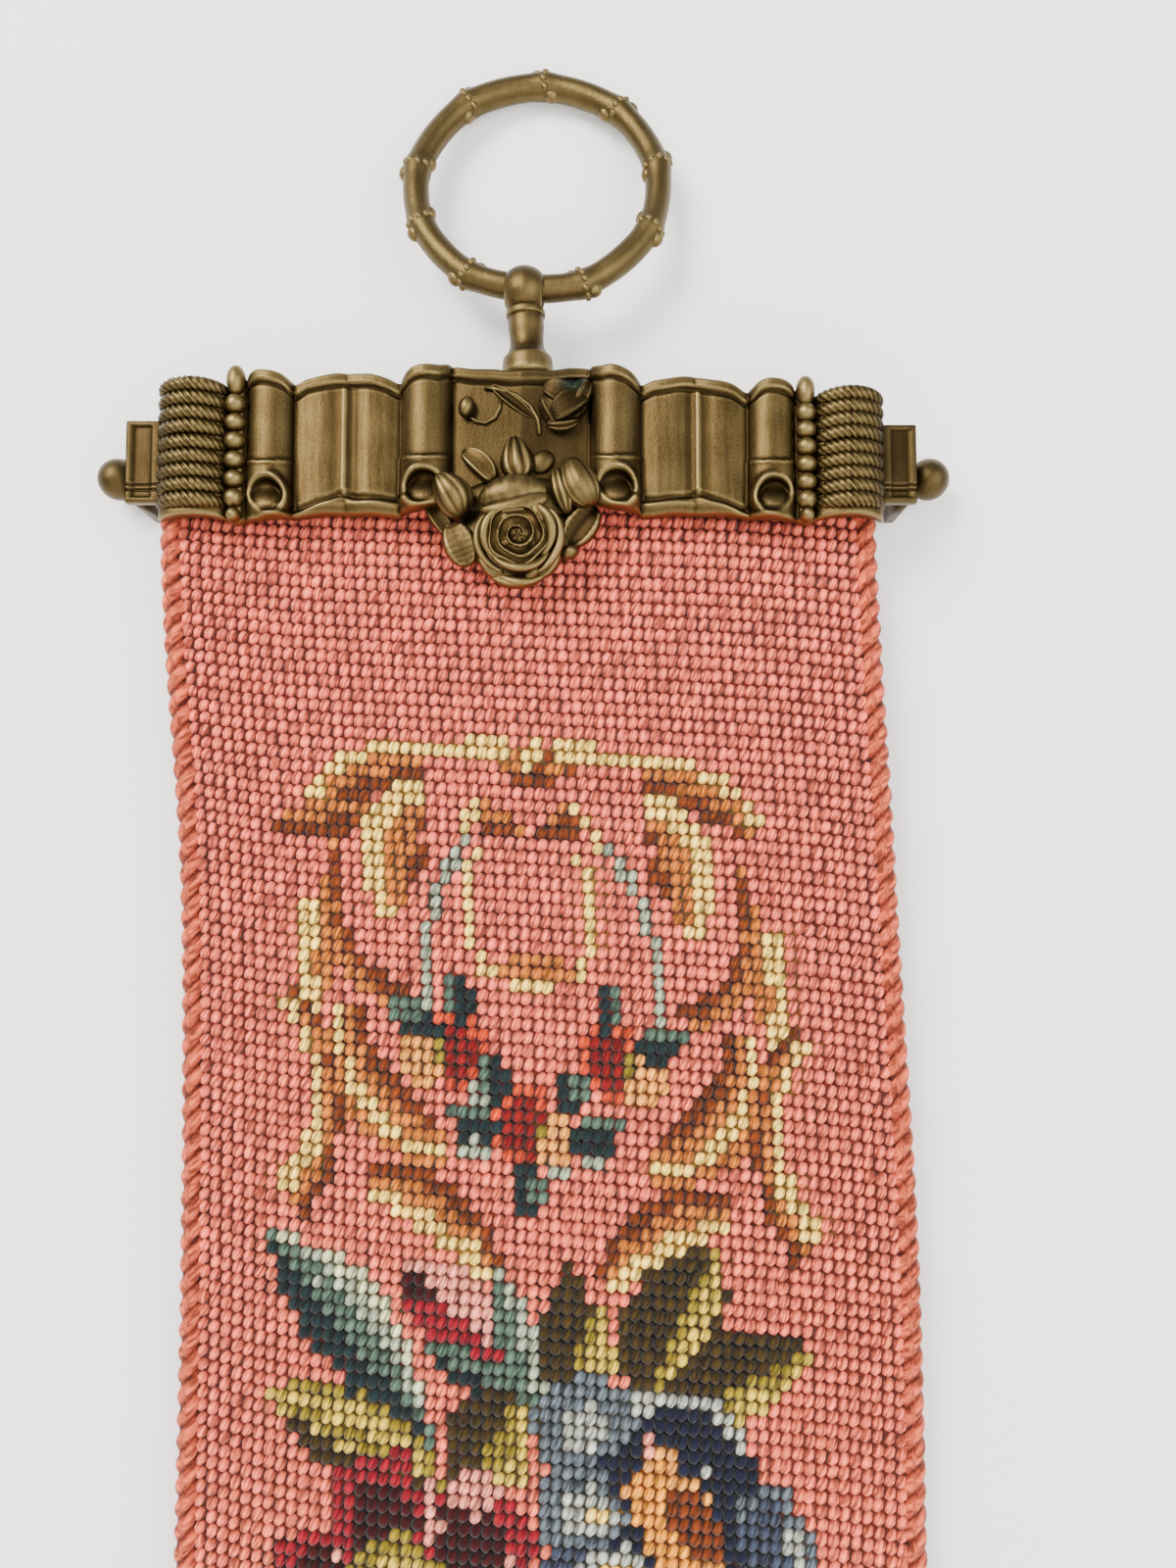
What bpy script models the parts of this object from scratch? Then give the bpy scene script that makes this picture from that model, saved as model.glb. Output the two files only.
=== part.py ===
"""Needlepoint bell pull on an antique brass hanger, in metres with +Z up.

The panel faces -Y. The origin is the hanging point, the inside top of the ring, and the wall's face lies a few
millimetres behind the ring's top.
"""

import math

import bmesh
import bpy
import numpy as np
from mathutils import Matrix, Vector

MM = 0.001
GAP = 0.3 * MM  # the clearance between pieces that touch
MERGE = 0.01 * MM  # points closer than this are one
SHARP = math.radians(40)  # edges that turn more than this stay crisp
COLLECTION_NAME = "needlepoint bell pull"

# Hanging ring, a circle that leans back towards the wall
RING_RADIUS = 29.4 * MM  # to the middle of its tube
RING_TUBE = 3.3 * MM
RING_CENTRE = Vector((1.1, -5.5, -25.6)) * MM
RING_LEAN = math.radians(10.6)
RING_POINTS = 90
KNOT_ANGLES = (87, 48, 11, -24, -68, -123, 170, 126, 201)  # degrees round the ring from its right side
KNOT_HALF_WIDTH = 3.6  # degrees
KNOT_SWELL = 0.2  # how far a knot's collar stands out, as a share of the tube's radius

# Ball and stem, turned round their own axis, which leans a little
RING_CLEARANCE = 0.42 * MM  # round the ring in the ball's hole
BALL_ANGLE = math.radians(264.9)  # where the ring runs through the ball
BALL_RADIUS = 5.8 * MM
STEM_LEAN = math.radians(2.4)
STEM_PROFILE = (  # radius and height in mm from the ball's middle, below the ball
    {"radius": 3.6, "height": -4.55},
    {"radius": 4.5, "height": -5.1},
    {"radius": 4.6, "height": -6.3},
    {"radius": 4.2, "height": -6.8},
    {"radius": 4.2, "height": -9.0},
    {"radius": 3.95, "height": -11.6},
    {"radius": 4.1, "height": -14.0},
    {"radius": 5.0, "height": -15.8},
    {"radius": 5.8, "height": -16.9},
    {"radius": 5.9, "height": -20.8},
)
BALL_END = math.radians(52)  # how far below its middle the ball runs into the stem
BALL_STEPS = 16
BALL_AROUND = 32
HOLE_SWEEP = 20  # degrees of the ring on each side of the ball that its hole is cut along

# Header casting, symmetric about its own middle
HEADER_X = -2.0 * MM
HEADER_Z = -94.0 * MM  # the height its rims are measured from
PLATE_FRONT = -14.8 * MM  # front face of its flat ground
PLATE_WALL = 2.3 * MM
HOLLOW = 0.7  # how much of each bulge the back of the plate follows
SECTIONS = (  # outward from the middle, in mm: end of the section, how far its middle bulges, and its
    # upper and lower edge at its start, middle and end, from HEADER_Z
    {"end": 15.8, "bulge": 1.2, "top": (18.2, 18.0, 16.6), "low": (-11.6, -12.0, -12.4)},
    {"end": 27.4, "bulge": 5.4, "top": (18.2, 18.9, 18.2), "low": (-12.4, -12.6, -12.4)},
    {"end": 39.8, "bulge": 1.0, "top": (14.0, 16.4, 18.3), "low": (-15.4, -15.2, -14.8)},
    {"end": 52.0, "bulge": 1.0, "top": (18.3, 16.4, 14.0), "low": (-14.8, -15.2, -15.6)},
    {"end": 62.6, "bulge": 4.0, "top": (17.4, 18.0, 17.4), "low": (-16.4, -16.8, -16.4)},
    {"end": 66.8, "bulge": 3.0, "top": (18.6, 19.8, 18.6), "low": (-16.8, -17.6, -16.8)},
    {"end": 82.6, "bulge": 5.2, "top": (15.6, 17.8, 15.6), "low": (-16.8, -16.0, -16.8)},
    {"end": 90.6, "bulge": 0.0, "top": (7.2, 7.4, 7.2), "low": (-12.0, -12.2, -12.0)},
)
SECTION_STEPS = 8
STEP_WIDTH = 0.35 * MM  # how far the plate takes to change between two sections
FLANGE_WALL = 2.0 * MM
FLANGE_BACK = 2.6 * MM
LUG_WIDTH = 12.0 * MM  # the solid lug behind the plate's top edge that carries the stem
LUG_HEIGHT = 7.0 * MM
LUG_BACK = -5.4 * MM
PETALS = (  # cast rose and leaves, in mm from the header's middle: place, half sizes, turn in degrees
    {"x": 0.0, "z": -21.4, "long": 6.4, "wide": 6.0, "thick": 5.6, "turn": 0, "stand": 2.2},
    {"x": -0.4, "z": -11.0, "long": 8.6, "wide": 4.0, "thick": 4.6, "turn": 0, "stand": 2.4},
    {"x": 0.2, "z": -28.0, "long": 6.0, "wide": 4.2, "thick": 3.2, "turn": 0, "stand": 1.6},
    {"x": -8.6, "z": -19.0, "long": 7.2, "wide": 4.6, "thick": 4.4, "turn": 52, "stand": 1.2},
    {"x": 8.8, "z": -19.0, "long": 7.2, "wide": 4.6, "thick": 4.4, "turn": -48, "stand": 1.2},
    {"x": -12.4, "z": -23.6, "long": 5.8, "wide": 3.6, "thick": 3.2, "turn": 24, "stand": 0.8},
    {"x": 12.2, "z": -21.2, "long": 5.6, "wide": 3.6, "thick": 3.2, "turn": -20, "stand": 0.8},
    {"x": -16.2, "z": -9.6, "long": 6.4, "wide": 3.4, "thick": 3.4, "turn": -30, "stand": 4.2},
    {"x": -9.4, "z": -3.0, "long": 6.6, "wide": 3.6, "thick": 3.4, "turn": 62, "stand": 1.8},
    {"x": -0.8, "z": -2.6, "long": 6.8, "wide": 3.8, "thick": 3.6, "turn": 84, "stand": 2.0},
    {"x": 12.6, "z": -6.6, "long": 6.8, "wide": 4.4, "thick": 3.8, "turn": 76, "stand": 2.8},
    {"x": 9.6, "z": 12.2, "long": 6.2, "wide": 4.4, "thick": 4.2, "turn": 30, "stand": 1.8},
    {"x": -13.0, "z": 10.0, "long": 2.8, "wide": 2.0, "thick": 2.6, "turn": 70, "stand": 1.6},
    {"x": -2.4, "z": 8.6, "long": 6.6, "wide": 1.5, "thick": 2.2, "turn": 38, "stand": 0.6},
)
PETAL_SEGMENTS = 18

# Rod and its end knobs
ROD_RADIUS = 2.5 * MM
ROD_Y = -3.5 * MM
ROD_Z = -97.0 * MM
ROD_HALF = 95.4 * MM
KNOB_RADIUS = 4.9 * MM
KNOB_X = 96.4 * MM  # from the header's middle
KNOB_STEPS = 14
KNOB_AROUND = 28
ROD_AROUND = 32

# Needlepoint panel: front layer, sleeve round the rod, hem at the bottom
CLOTH_THICKNESS = 2.5 * MM
CLOTH_BOTTOM = -975.0 * MM
SLEEVE_BACK = 34.0 * MM  # how far the sleeve's end hangs below the rod
HEM_DEPTH = 22.0 * MM
HEM_RADIUS = 1.5 * MM  # to the middle of the cloth
LOOP_RADIUS = ROD_RADIUS + CLOTH_THICKNESS / 2 + 0.36 * MM  # to the middle of the cloth over the rod
LAYER_GAP = 0.5 * MM
CLOTH_COLUMNS = 18
CLOTH_ROW = 13.0 * MM
ARC_STEPS = 12
HEM_ROWS = 3
SLEEVE_SHARES = (0.35, 0.7, 1.0)  # of its depth, where the sleeve's back has its rows
SHAPE = (  # in mm: height, middle and half width of the cloth, and how far it stands behind the rod's front
    {"height": -90.0, "middle": -3.2, "half": 79.4, "back": 0.0},
    {"height": -108.0, "middle": -3.0, "half": 79.4, "back": 0.0},
    {"height": -192.0, "middle": 2.0, "half": 78.0, "back": 0.6},
    {"height": -275.0, "middle": 4.7, "half": 79.2, "back": 1.4},
    {"height": -345.0, "middle": 5.1, "half": 79.4, "back": 2.2},
    {"height": -500.0, "middle": 5.4, "half": 79.4, "back": 4.0},
    {"height": -700.0, "middle": 4.6, "half": 79.2, "back": 5.6},
    {"height": -980.0, "middle": 4.0, "half": 79.4, "back": 6.6},
)
RIPPLE = 0.9 * MM  # how far the hanging cloth waves in and out
RIPPLE_START = -104.0 * MM
RIPPLE_FADE = 60.0 * MM  # below its start, where the wave reaches its full height
RIPPLE_LENGTHS = (0.23, 0.31)  # across and down, in metres
RIPPLE_SHIFT = 0.2  # of its length across

# Cords sewn along the side edges
CORD_RADIUS = 2.3 * MM
CORD_TOP = -100.6 * MM  # just under the rod
CORD_POINTS = 64

TUBE_SIDES = {"ring": 3, "hole": 4, "cord": 2}  # how finely each tube is rounded

MATERIALS = {  # base colour, metallic, roughness
    "cast brass": ((0.21, 0.15, 0.065, 1), 1.0, 0.42),
    "turned brass": ((0.26, 0.19, 0.085, 1), 1.0, 0.36),
    "needlepoint wool": ((0.62, 0.24, 0.19, 1), 0.0, 0.9),
    "cord wool": ((0.60, 0.22, 0.15, 1), 0.0, 0.9),
}


def clear_scene():
    for old in list(bpy.data.objects):
        bpy.data.objects.remove(old, do_unlink=True)


def new_collection(name):
    found = bpy.data.collections.new(name)
    bpy.context.scene.collection.children.link(found)
    return found


def new_material(name, colour, metallic, roughness):
    made = bpy.data.materials.new(name)
    made.use_nodes = True
    shader = made.node_tree.nodes["Principled BSDF"]
    shader.inputs["Base Color"].default_value = colour
    shader.inputs["Metallic"].default_value = metallic
    shader.inputs["Roughness"].default_value = roughness
    return made


def smooth(mesh, angle):
    mesh.shade_smooth()
    mesh.set_sharp_from_angle(angle=angle)


def add_mesh(name, mesh, collection, material):
    """Links a mesh as a named object, shaded smooth but for its edges."""
    made = bpy.data.objects.new(name, mesh)
    collection.objects.link(made)
    if material:
        mesh.materials.append(bpy.data.materials[material])
    smooth(mesh, SHARP)
    return made


def add_cutter(name, mesh, cutters):
    made = bpy.data.objects.new(name, mesh)
    cutters.objects.link(made)
    made.hide_render = True
    made.display_type = "WIRE"
    return made


def cut(body, cutter, operation="DIFFERENCE"):
    """Adds an exact Boolean that keeps the body's own modifiers below it."""
    step = body.modifiers.new(cutter.name, "BOOLEAN")
    step.operation = operation
    step.solver = "EXACT"
    step.object = cutter


def tube_mesh(name, points, radii, tube, cyclic, sides):
    """A round tube along a line of points, as a mesh with closed ends."""
    line = bpy.data.curves.new(name, "CURVE")
    line.dimensions = "3D"
    line.bevel_depth = tube
    line.bevel_resolution = sides
    line.use_fill_caps = not cyclic
    spline = line.splines.new("POLY")
    spline.points.add(len(points) - 1)
    for place, point, radius in zip(spline.points, points, radii):
        place.co = (*point, 1)
        place.radius = radius
    spline.use_cyclic_u = cyclic
    guide = bpy.data.objects.new(name + " guide", line)
    bpy.context.scene.collection.objects.link(guide)
    bpy.context.view_layer.update()
    mesh = bpy.data.meshes.new_from_object(guide.evaluated_get(bpy.context.evaluated_depsgraph_get()))
    mesh.name = name
    bpy.data.objects.remove(guide, do_unlink=True)
    shape = bmesh.new()
    shape.from_mesh(mesh)
    bmesh.ops.remove_doubles(shape, verts=shape.verts, dist=MERGE)
    bmesh.ops.recalc_face_normals(shape, faces=shape.faces)
    shape.to_mesh(mesh)
    shape.free()
    return mesh


def turned(name, profile, steps, collection, material):
    """A solid turned round Z from (radius, height) points that run down its outer side from pole to pole."""
    mesh = bpy.data.meshes.new(name)
    edges = [(i, i + 1) for i in range(len(profile) - 1)]
    mesh.from_pydata([(radius, 0, height) for radius, height in profile], edges, [])
    made = bpy.data.objects.new(name, mesh)
    collection.objects.link(made)
    mesh.materials.append(bpy.data.materials[material])
    screw = made.modifiers.new("turn", "SCREW")
    screw.axis = "Z"
    screw.steps = steps
    screw.render_steps = steps
    screw.use_merge_vertices = True
    screw.merge_threshold = MERGE
    screw.use_smooth_shade = True
    return made


def ring_point(angle):
    """The middle of the ring's tube at an angle from its right side."""
    return RING_CENTRE + RING_RADIUS * Vector((
        math.cos(angle),
        math.sin(angle) * math.sin(RING_LEAN),
        math.sin(angle) * math.cos(RING_LEAN),
    ))


def knot_swell(angle):
    """How thick the ring is at an angle in degrees, with a soft collar at each knot."""
    nearest = min(abs((angle - knot + 180) % 360 - 180) for knot in KNOT_ANGLES)
    return 1 + KNOT_SWELL * math.exp(-((nearest / KNOT_HALF_WIDTH) ** 2))


def build_ring(collection):
    angles = [360 * i / RING_POINTS for i in range(RING_POINTS)]
    points = [ring_point(math.radians(angle)) for angle in angles]
    radii = [knot_swell(angle) for angle in angles]
    mesh = tube_mesh("hanging_ring", points, radii, RING_TUBE, True, TUBE_SIDES["ring"])
    return add_mesh("hanging_ring", mesh, collection, "cast brass")


def build_stem(collection, cutters):
    """The ball, neck and foot as one turned piece, with the ring's hole through the ball."""
    ball = [(0.0, BALL_RADIUS)]
    for i in range(1, BALL_STEPS + 1):
        angle = math.pi / 2 - i * (math.pi / 2 + BALL_END) / BALL_STEPS
        ball.append((BALL_RADIUS * math.cos(angle), BALL_RADIUS * math.sin(angle)))
    foot = [(row["radius"] * MM, row["height"] * MM) for row in STEM_PROFILE]
    profile = ball + foot + [(0.0, foot[-1][1])]
    stem = turned("ball_stem", profile, BALL_AROUND, collection, "turned brass")
    stem.location = ring_point(BALL_ANGLE)
    stem.rotation_euler = (0, STEM_LEAN, 0)
    sweep = [ring_point(BALL_ANGLE + math.radians(i)) for i in range(-HOLE_SWEEP, HOLE_SWEEP + 1)]
    hole = tube_mesh("ring hole", sweep, [1] * len(sweep), RING_TUBE + RING_CLEARANCE, False, TUBE_SIDES["hole"])
    cut(stem, add_cutter("ring hole", hole, cutters))
    return stem


def plate_lines():
    """The header's right half as rows of x, front, back, top and low, from its middle outwards."""
    rows = []
    start = 0.0
    for section in SECTIONS:
        width = section["end"] - start
        for i in range(SECTION_STEPS + 1):
            share = i / SECTION_STEPS
            inset = (0.5 - share) * 2 * STEP_WIDTH
            x = (start + width * share) * MM + (inset if start or share else 0.0)
            bulge = section["bulge"] * MM * math.sqrt(max(0.0, 1 - (2 * share - 1) ** 2))
            if section["end"] == SECTIONS[0]["end"]:
                bulge = section["bulge"] * MM * (1 - share)
            front = PLATE_FRONT - bulge
            back = PLATE_FRONT + PLATE_WALL - HOLLOW * bulge
            rows.append((x, front, back, *(HEADER_Z + MM * edge(section[side], share) for side in ("top", "low"))))
        start = section["end"]
    return rows


def edge(heights, share):
    """A curve through three heights, at the start, middle and end of a section."""
    first, middle, last = heights
    return first + (4 * middle - 3 * first - last) * share + 2 * (first + last - 2 * middle) * share**2


def plate_mesh():
    """The wavy plate, lofted across from its left end to its right one."""
    half = plate_lines()
    rows = [(-x, *rest) for x, *rest in reversed(half[1:])] + half
    verts = []
    faces = []
    for x, front, back, top, low in rows:
        middle = (top + low) / 2
        loop = ((front, low), (front, middle), (front, top), (back, top), (back, middle), (back, low))
        verts += [(HEADER_X + x, y, z) for y, z in loop]
    count = 6
    for i in range(len(rows) - 1):
        for j in range(count):
            k = (j + 1) % count
            faces.append((i * count + j, (i + 1) * count + j, (i + 1) * count + k, i * count + k))
    faces.append(tuple(range(count)))
    faces.append(tuple(reversed(range(len(verts) - count, len(verts)))))
    mesh = bpy.data.meshes.new("header_casting")
    mesh.from_pydata(verts, [], faces)
    shape = bmesh.new()
    shape.from_mesh(mesh)
    bmesh.ops.recalc_face_normals(shape, faces=shape.faces)
    shape.to_mesh(mesh)
    shape.free()
    return mesh


def box_mesh(name, low, high):
    shape = bmesh.new()
    size = Vector(high) - Vector(low)
    middle = (Vector(high) + Vector(low)) / 2
    bmesh.ops.create_cube(shape, size=1, matrix=Matrix.Translation(middle) @ Matrix.Diagonal((*size, 1)))
    mesh = bpy.data.meshes.new(name)
    shape.to_mesh(mesh)
    shape.free()
    return mesh


def petal_mesh(row):
    """One cast petal or leaf, a flattened ball standing on the plate."""
    shape = bmesh.new()
    place = Vector((HEADER_X + row["x"] * MM, PLATE_FRONT - row["stand"] * MM, HEADER_Z + row["z"] * MM))
    turn = Matrix.Rotation(math.radians(-row["turn"]), 4, "Y")
    size = Matrix.Diagonal((row["long"] * MM, row["thick"] * MM, row["wide"] * MM, 1))
    matrix = Matrix.Translation(place) @ turn @ size
    bmesh.ops.create_uvsphere(
        shape, u_segments=PETAL_SEGMENTS, v_segments=PETAL_SEGMENTS // 2, radius=1, matrix=matrix
    )
    mesh = bpy.data.meshes.new("petal")
    shape.to_mesh(mesh)
    shape.free()
    return mesh


def build_header(collection, cutters):
    """The cast plate with its end flanges, stem lug and flowers joined to it."""
    header = add_mesh("header_casting", plate_mesh(), collection, "cast brass")
    end = SECTIONS[-1]["end"] * MM
    low, high = (HEADER_Z + SECTIONS[-1][side][0] * MM for side in ("low", "top"))
    for side, name in ((-1, "left flange"), (1, "right flange")):
        outer = HEADER_X + side * (end - STEP_WIDTH)
        inner = outer - side * FLANGE_WALL
        flange = box_mesh(
            name,
            (min(outer, inner), PLATE_FRONT + PLATE_WALL / 2, low + GAP),
            (max(outer, inner), FLANGE_BACK, high - GAP),
        )
        cut(header, add_cutter(name, flange, cutters), "UNION")
    top = HEADER_Z + SECTIONS[0]["top"][0] * MM
    lug = box_mesh(
        "stem lug",
        (HEADER_X - LUG_WIDTH / 2, PLATE_FRONT + PLATE_WALL / 2, top - LUG_HEIGHT),
        (HEADER_X + LUG_WIDTH / 2, LUG_BACK, top - GAP),
    )
    cut(header, add_cutter("stem lug", lug, cutters), "UNION")
    for number, row in enumerate(PETALS):
        cut(header, add_cutter(f"petal {number + 1}", petal_mesh(row), cutters), "UNION")
    hole = rod_mesh("rod hole", ROD_RADIUS + GAP, (end + 2 * FLANGE_WALL) * 2)
    cut(header, add_cutter("rod hole", hole, cutters))
    return header


def rod_mesh(name, radius, length):
    """A cylinder along X on the rod's axis."""
    shape = bmesh.new()
    matrix = Matrix.Translation((HEADER_X, ROD_Y, ROD_Z)) @ Matrix.Rotation(math.pi / 2, 4, "Y")
    bmesh.ops.create_cone(
        shape, cap_ends=True, segments=ROD_AROUND, radius1=radius, radius2=radius, depth=length, matrix=matrix
    )
    mesh = bpy.data.meshes.new(name)
    shape.to_mesh(mesh)
    shape.free()
    return mesh


def build_knob(name, side, collection):
    """A ball with a blind bore that takes the rod's end."""
    bore = ROD_RADIUS + GAP
    floor = KNOB_X - ROD_HALF - GAP  # the bore's floor, from the ball's middle towards the rod
    mouth = math.asin(bore / KNOB_RADIUS)
    profile = [(0.0, KNOB_RADIUS)]
    for i in range(1, KNOB_STEPS + 1):
        angle = i * (math.pi - mouth) / KNOB_STEPS
        profile.append((KNOB_RADIUS * math.sin(angle), KNOB_RADIUS * math.cos(angle)))
    profile += [(bore, -floor), (0.0, -floor)]
    knob = turned(name, profile, KNOB_AROUND, collection, "turned brass")
    knob.location = (HEADER_X + side * KNOB_X, ROD_Y, ROD_Z)
    knob.rotation_euler = (0, side * math.pi / 2, 0)
    return knob


def shape_at(height):
    """Middle, half width and standing-back of the cloth at a height, eased between the rows of SHAPE."""
    rows = sorted(SHAPE, key=lambda row: row["height"])
    heights = [row["height"] * MM for row in rows]
    return [
        eased(height, heights, [row[name] * MM for row in rows])
        for name in ("middle", "half", "back")
    ]


def eased(x, places, values):
    """A smooth curve through the values, whose slope at each is that of its neighbours' chord."""
    slopes = np.gradient(values, places)
    i = int(np.clip(np.searchsorted(places, x) - 1, 0, len(places) - 2))
    width = places[i + 1] - places[i]
    t = min(max((x - places[i]) / width, 0.0), 1.0)
    return (
        (1 + 2 * t) * (1 - t) ** 2 * values[i]
        + t * (1 - t) ** 2 * width * slopes[i]
        + t * t * (3 - 2 * t) * values[i + 1]
        - t * t * (1 - t) * width * slopes[i + 1]
    )


def ripple(x, z):
    """How far the cloth waves forward at a place, fading to nothing at the rod."""
    fade = min(max((RIPPLE_START - z) / RIPPLE_FADE, 0.0), 1.0)
    across, down = RIPPLE_LENGTHS
    wave = math.sin(2 * math.pi * (x / across + RIPPLE_SHIFT)) * math.cos(2 * math.pi * z / down)
    return -RIPPLE * fade * wave


def cloth_path():
    """The cloth's middle line in the YZ plane, as (y, z) from the hem up and over the rod."""
    front = ROD_Y - LOOP_RADIUS
    spread = CLOTH_THICKNESS + LAYER_GAP
    path = []
    hem_top = CLOTH_BOTTOM + HEM_RADIUS + CLOTH_THICKNESS / 2 + HEM_DEPTH
    hem_fold = CLOTH_BOTTOM + HEM_RADIUS + CLOTH_THICKNESS / 2
    for i in range(HEM_ROWS):
        path.append((front + spread, hem_top + (hem_fold - hem_top) * i / HEM_ROWS))
    for i in range(ARC_STEPS + 1):
        angle = math.pi * i / ARC_STEPS
        path.append((front + spread / 2 + spread / 2 * math.cos(angle), hem_fold - HEM_RADIUS * math.sin(angle)))
    count = round((ROD_Z - hem_fold) / CLOTH_ROW)
    for i in range(1, count):
        path.append((front, hem_fold + (ROD_Z - hem_fold) * i / count))
    for i in range(ARC_STEPS + 1):
        angle = math.pi * i / ARC_STEPS
        path.append((ROD_Y - LOOP_RADIUS * math.cos(angle), ROD_Z + LOOP_RADIUS * math.sin(angle)))
    back = front + spread
    for share in SLEEVE_SHARES:
        ease = share * share * (3 - 2 * share)
        path.append((ROD_Y + LOOP_RADIUS + (back - ROD_Y - LOOP_RADIUS) * ease, ROD_Z - SLEEVE_BACK * share))
    return path


def build_cloth(collection):
    """The panel as one sheet over its sleeve and hem, thickened."""
    path = cloth_path()
    verts = []
    for y, z in path:
        middle, half, back = shape_at(z)
        for i in range(CLOTH_COLUMNS + 1):
            x = middle + half * (2 * i / CLOTH_COLUMNS - 1)
            verts.append((x, y + back + ripple(x, z), z))
    width = CLOTH_COLUMNS + 1
    faces = [
        (r * width + c, r * width + c + 1, (r + 1) * width + c + 1, (r + 1) * width + c)
        for r in range(len(path) - 1)
        for c in range(CLOTH_COLUMNS)
    ]
    mesh = bpy.data.meshes.new("needlepoint_panel")
    mesh.from_pydata(verts, [], faces)
    cloth = add_mesh("needlepoint_panel", mesh, collection, "needlepoint wool")
    thick = cloth.modifiers.new("thickness", "SOLIDIFY")
    thick.thickness = CLOTH_THICKNESS
    thick.offset = 0
    thick.use_even_offset = True
    return cloth


def build_cord(name, side, collection):
    """A round cord down one side edge of the cloth."""
    points = []
    for i in range(CORD_POINTS + 1):
        z = CORD_TOP + (CLOTH_BOTTOM + CORD_RADIUS - CORD_TOP) * i / CORD_POINTS
        middle, half, back = shape_at(z)
        edge_x = middle + side * half
        points.append((edge_x + side * (GAP + CORD_RADIUS), ROD_Y - LOOP_RADIUS + back + ripple(edge_x, z), z))
    mesh = tube_mesh(name, points, [1] * len(points), CORD_RADIUS, False, TUBE_SIDES["cord"])
    return add_mesh(name, mesh, collection, "cord wool")


def build():
    clear_scene()
    collection = new_collection(COLLECTION_NAME)
    cutters = new_collection("cutters")
    for name, (colour, metallic, roughness) in MATERIALS.items():
        new_material(name, colour, metallic, roughness)
    build_ring(collection)
    build_stem(collection, cutters)
    build_header(collection, cutters)
    add_mesh("hanger_rod", rod_mesh("hanger_rod", ROD_RADIUS, 2 * ROD_HALF), collection, "turned brass")
    build_knob("left_knob", -1, collection)
    build_knob("right_knob", 1, collection)
    build_cloth(collection)
    build_cord("left_edge_cord", -1, collection)
    build_cord("right_edge_cord", 1, collection)


build()
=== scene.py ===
import bpy
import numpy as np
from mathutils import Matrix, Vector


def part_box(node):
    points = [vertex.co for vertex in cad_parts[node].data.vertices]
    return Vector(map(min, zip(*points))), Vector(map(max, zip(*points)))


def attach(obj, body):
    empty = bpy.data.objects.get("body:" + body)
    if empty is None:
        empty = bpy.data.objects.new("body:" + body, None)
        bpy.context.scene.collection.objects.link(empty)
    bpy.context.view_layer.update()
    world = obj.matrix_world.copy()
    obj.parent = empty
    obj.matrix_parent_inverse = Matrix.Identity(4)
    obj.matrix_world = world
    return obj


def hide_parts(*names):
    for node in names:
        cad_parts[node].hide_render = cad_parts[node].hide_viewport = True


mm = 0.001
tau = 2 * np.pi
chance = np.random.default_rng(12)

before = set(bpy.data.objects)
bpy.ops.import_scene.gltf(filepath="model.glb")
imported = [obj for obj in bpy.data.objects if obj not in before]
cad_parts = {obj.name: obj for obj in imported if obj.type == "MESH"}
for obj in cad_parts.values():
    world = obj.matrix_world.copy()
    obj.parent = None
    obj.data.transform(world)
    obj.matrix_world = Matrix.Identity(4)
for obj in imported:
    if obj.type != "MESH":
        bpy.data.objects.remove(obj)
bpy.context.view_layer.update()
print("frame loaded")


# shapes as grids of points
def grid(points, capped=False):
    # points is rows x columns x 3; neighbours join into quads, each row closes on itself, and a cap joins an
    # end row to its own middle
    rows, cols = points.shape[:2]
    verts = points.reshape(-1, 3)
    index = np.arange(rows * cols).reshape(rows, cols)
    beside = np.roll(index, -1, axis=1)
    quads = np.stack([index[:-1], beside[:-1], beside[1:], index[1:]], axis=-1).reshape(-1, 4)
    tris = np.zeros((0, 3), int)
    for row in (0, rows - 1) if capped else ():
        verts = np.vstack([verts, points[row].mean(0)])
        fan = np.stack([index[row], beside[row], np.full(cols, len(verts) - 1)], axis=-1)
        tris = np.vstack([tris, fan if row else fan[:, ::-1]])
    return verts, quads, tris


def facedOut(shape):
    # the signed volume under all faces tells which way a closed shape faces
    verts, quads, tris = shape
    corners = np.vstack([quads[:, [0, 1, 2]], quads[:, [0, 2, 3]], tris])
    a, b, c = (verts[corners[:, i]] - verts.mean(0) for i in range(3))
    if np.einsum("ij,ij->i", a, np.cross(b, c)).sum() < 0:
        return verts, quads[:, ::-1], tris[:, ::-1]
    return shape


def closed(points):
    # rings of points as one closed shape with its faces outwards
    return facedOut(grid(points, capped=True))


def endless(points):
    # rings of points in mm whose last joins its first
    verts, quads, tris = grid(np.concatenate([points, points[:1]]))
    count = len(points) * points.shape[1]
    return facedOut((verts[:count] * mm, quads % count, tris))


def unit(vectors):
    # each vector over its own length
    return vectors / np.linalg.norm(vectors, axis=-1, keepdims=True)


def ease(x, low, high):
    # 0 below low, 1 above high, and a smooth climb between
    share = np.clip((x - low) / (high - low), 0, 1)
    return share * share * (3 - 2 * share)


def hump(x, middle, width):
    # a bell: e to the power of -((x - middle) / width)²
    return np.exp(-(((x - middle) / width) ** 2))


def ridge(x, width):
    # a half round of the given half width
    return np.sqrt(np.clip(1 - (x / width) ** 2, 0, None))


def parabola(share, start, middle, end):
    # through three values at shares 0, a half and 1
    return start + (4 * middle - 3 * start - end) * share + 2 * (start + end - 2 * middle) * share**2


def hermite(t, start, end, startSlope, endSlope):
    # the cubic with these values and slopes at t = 0 and t = 1
    return (
        (1 + 2 * t) * (1 - t) ** 2 * start + t * (1 - t) ** 2 * startSlope
        + t * t * (3 - 2 * t) * end - t * t * (1 - t) * endSlope
    )


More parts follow.
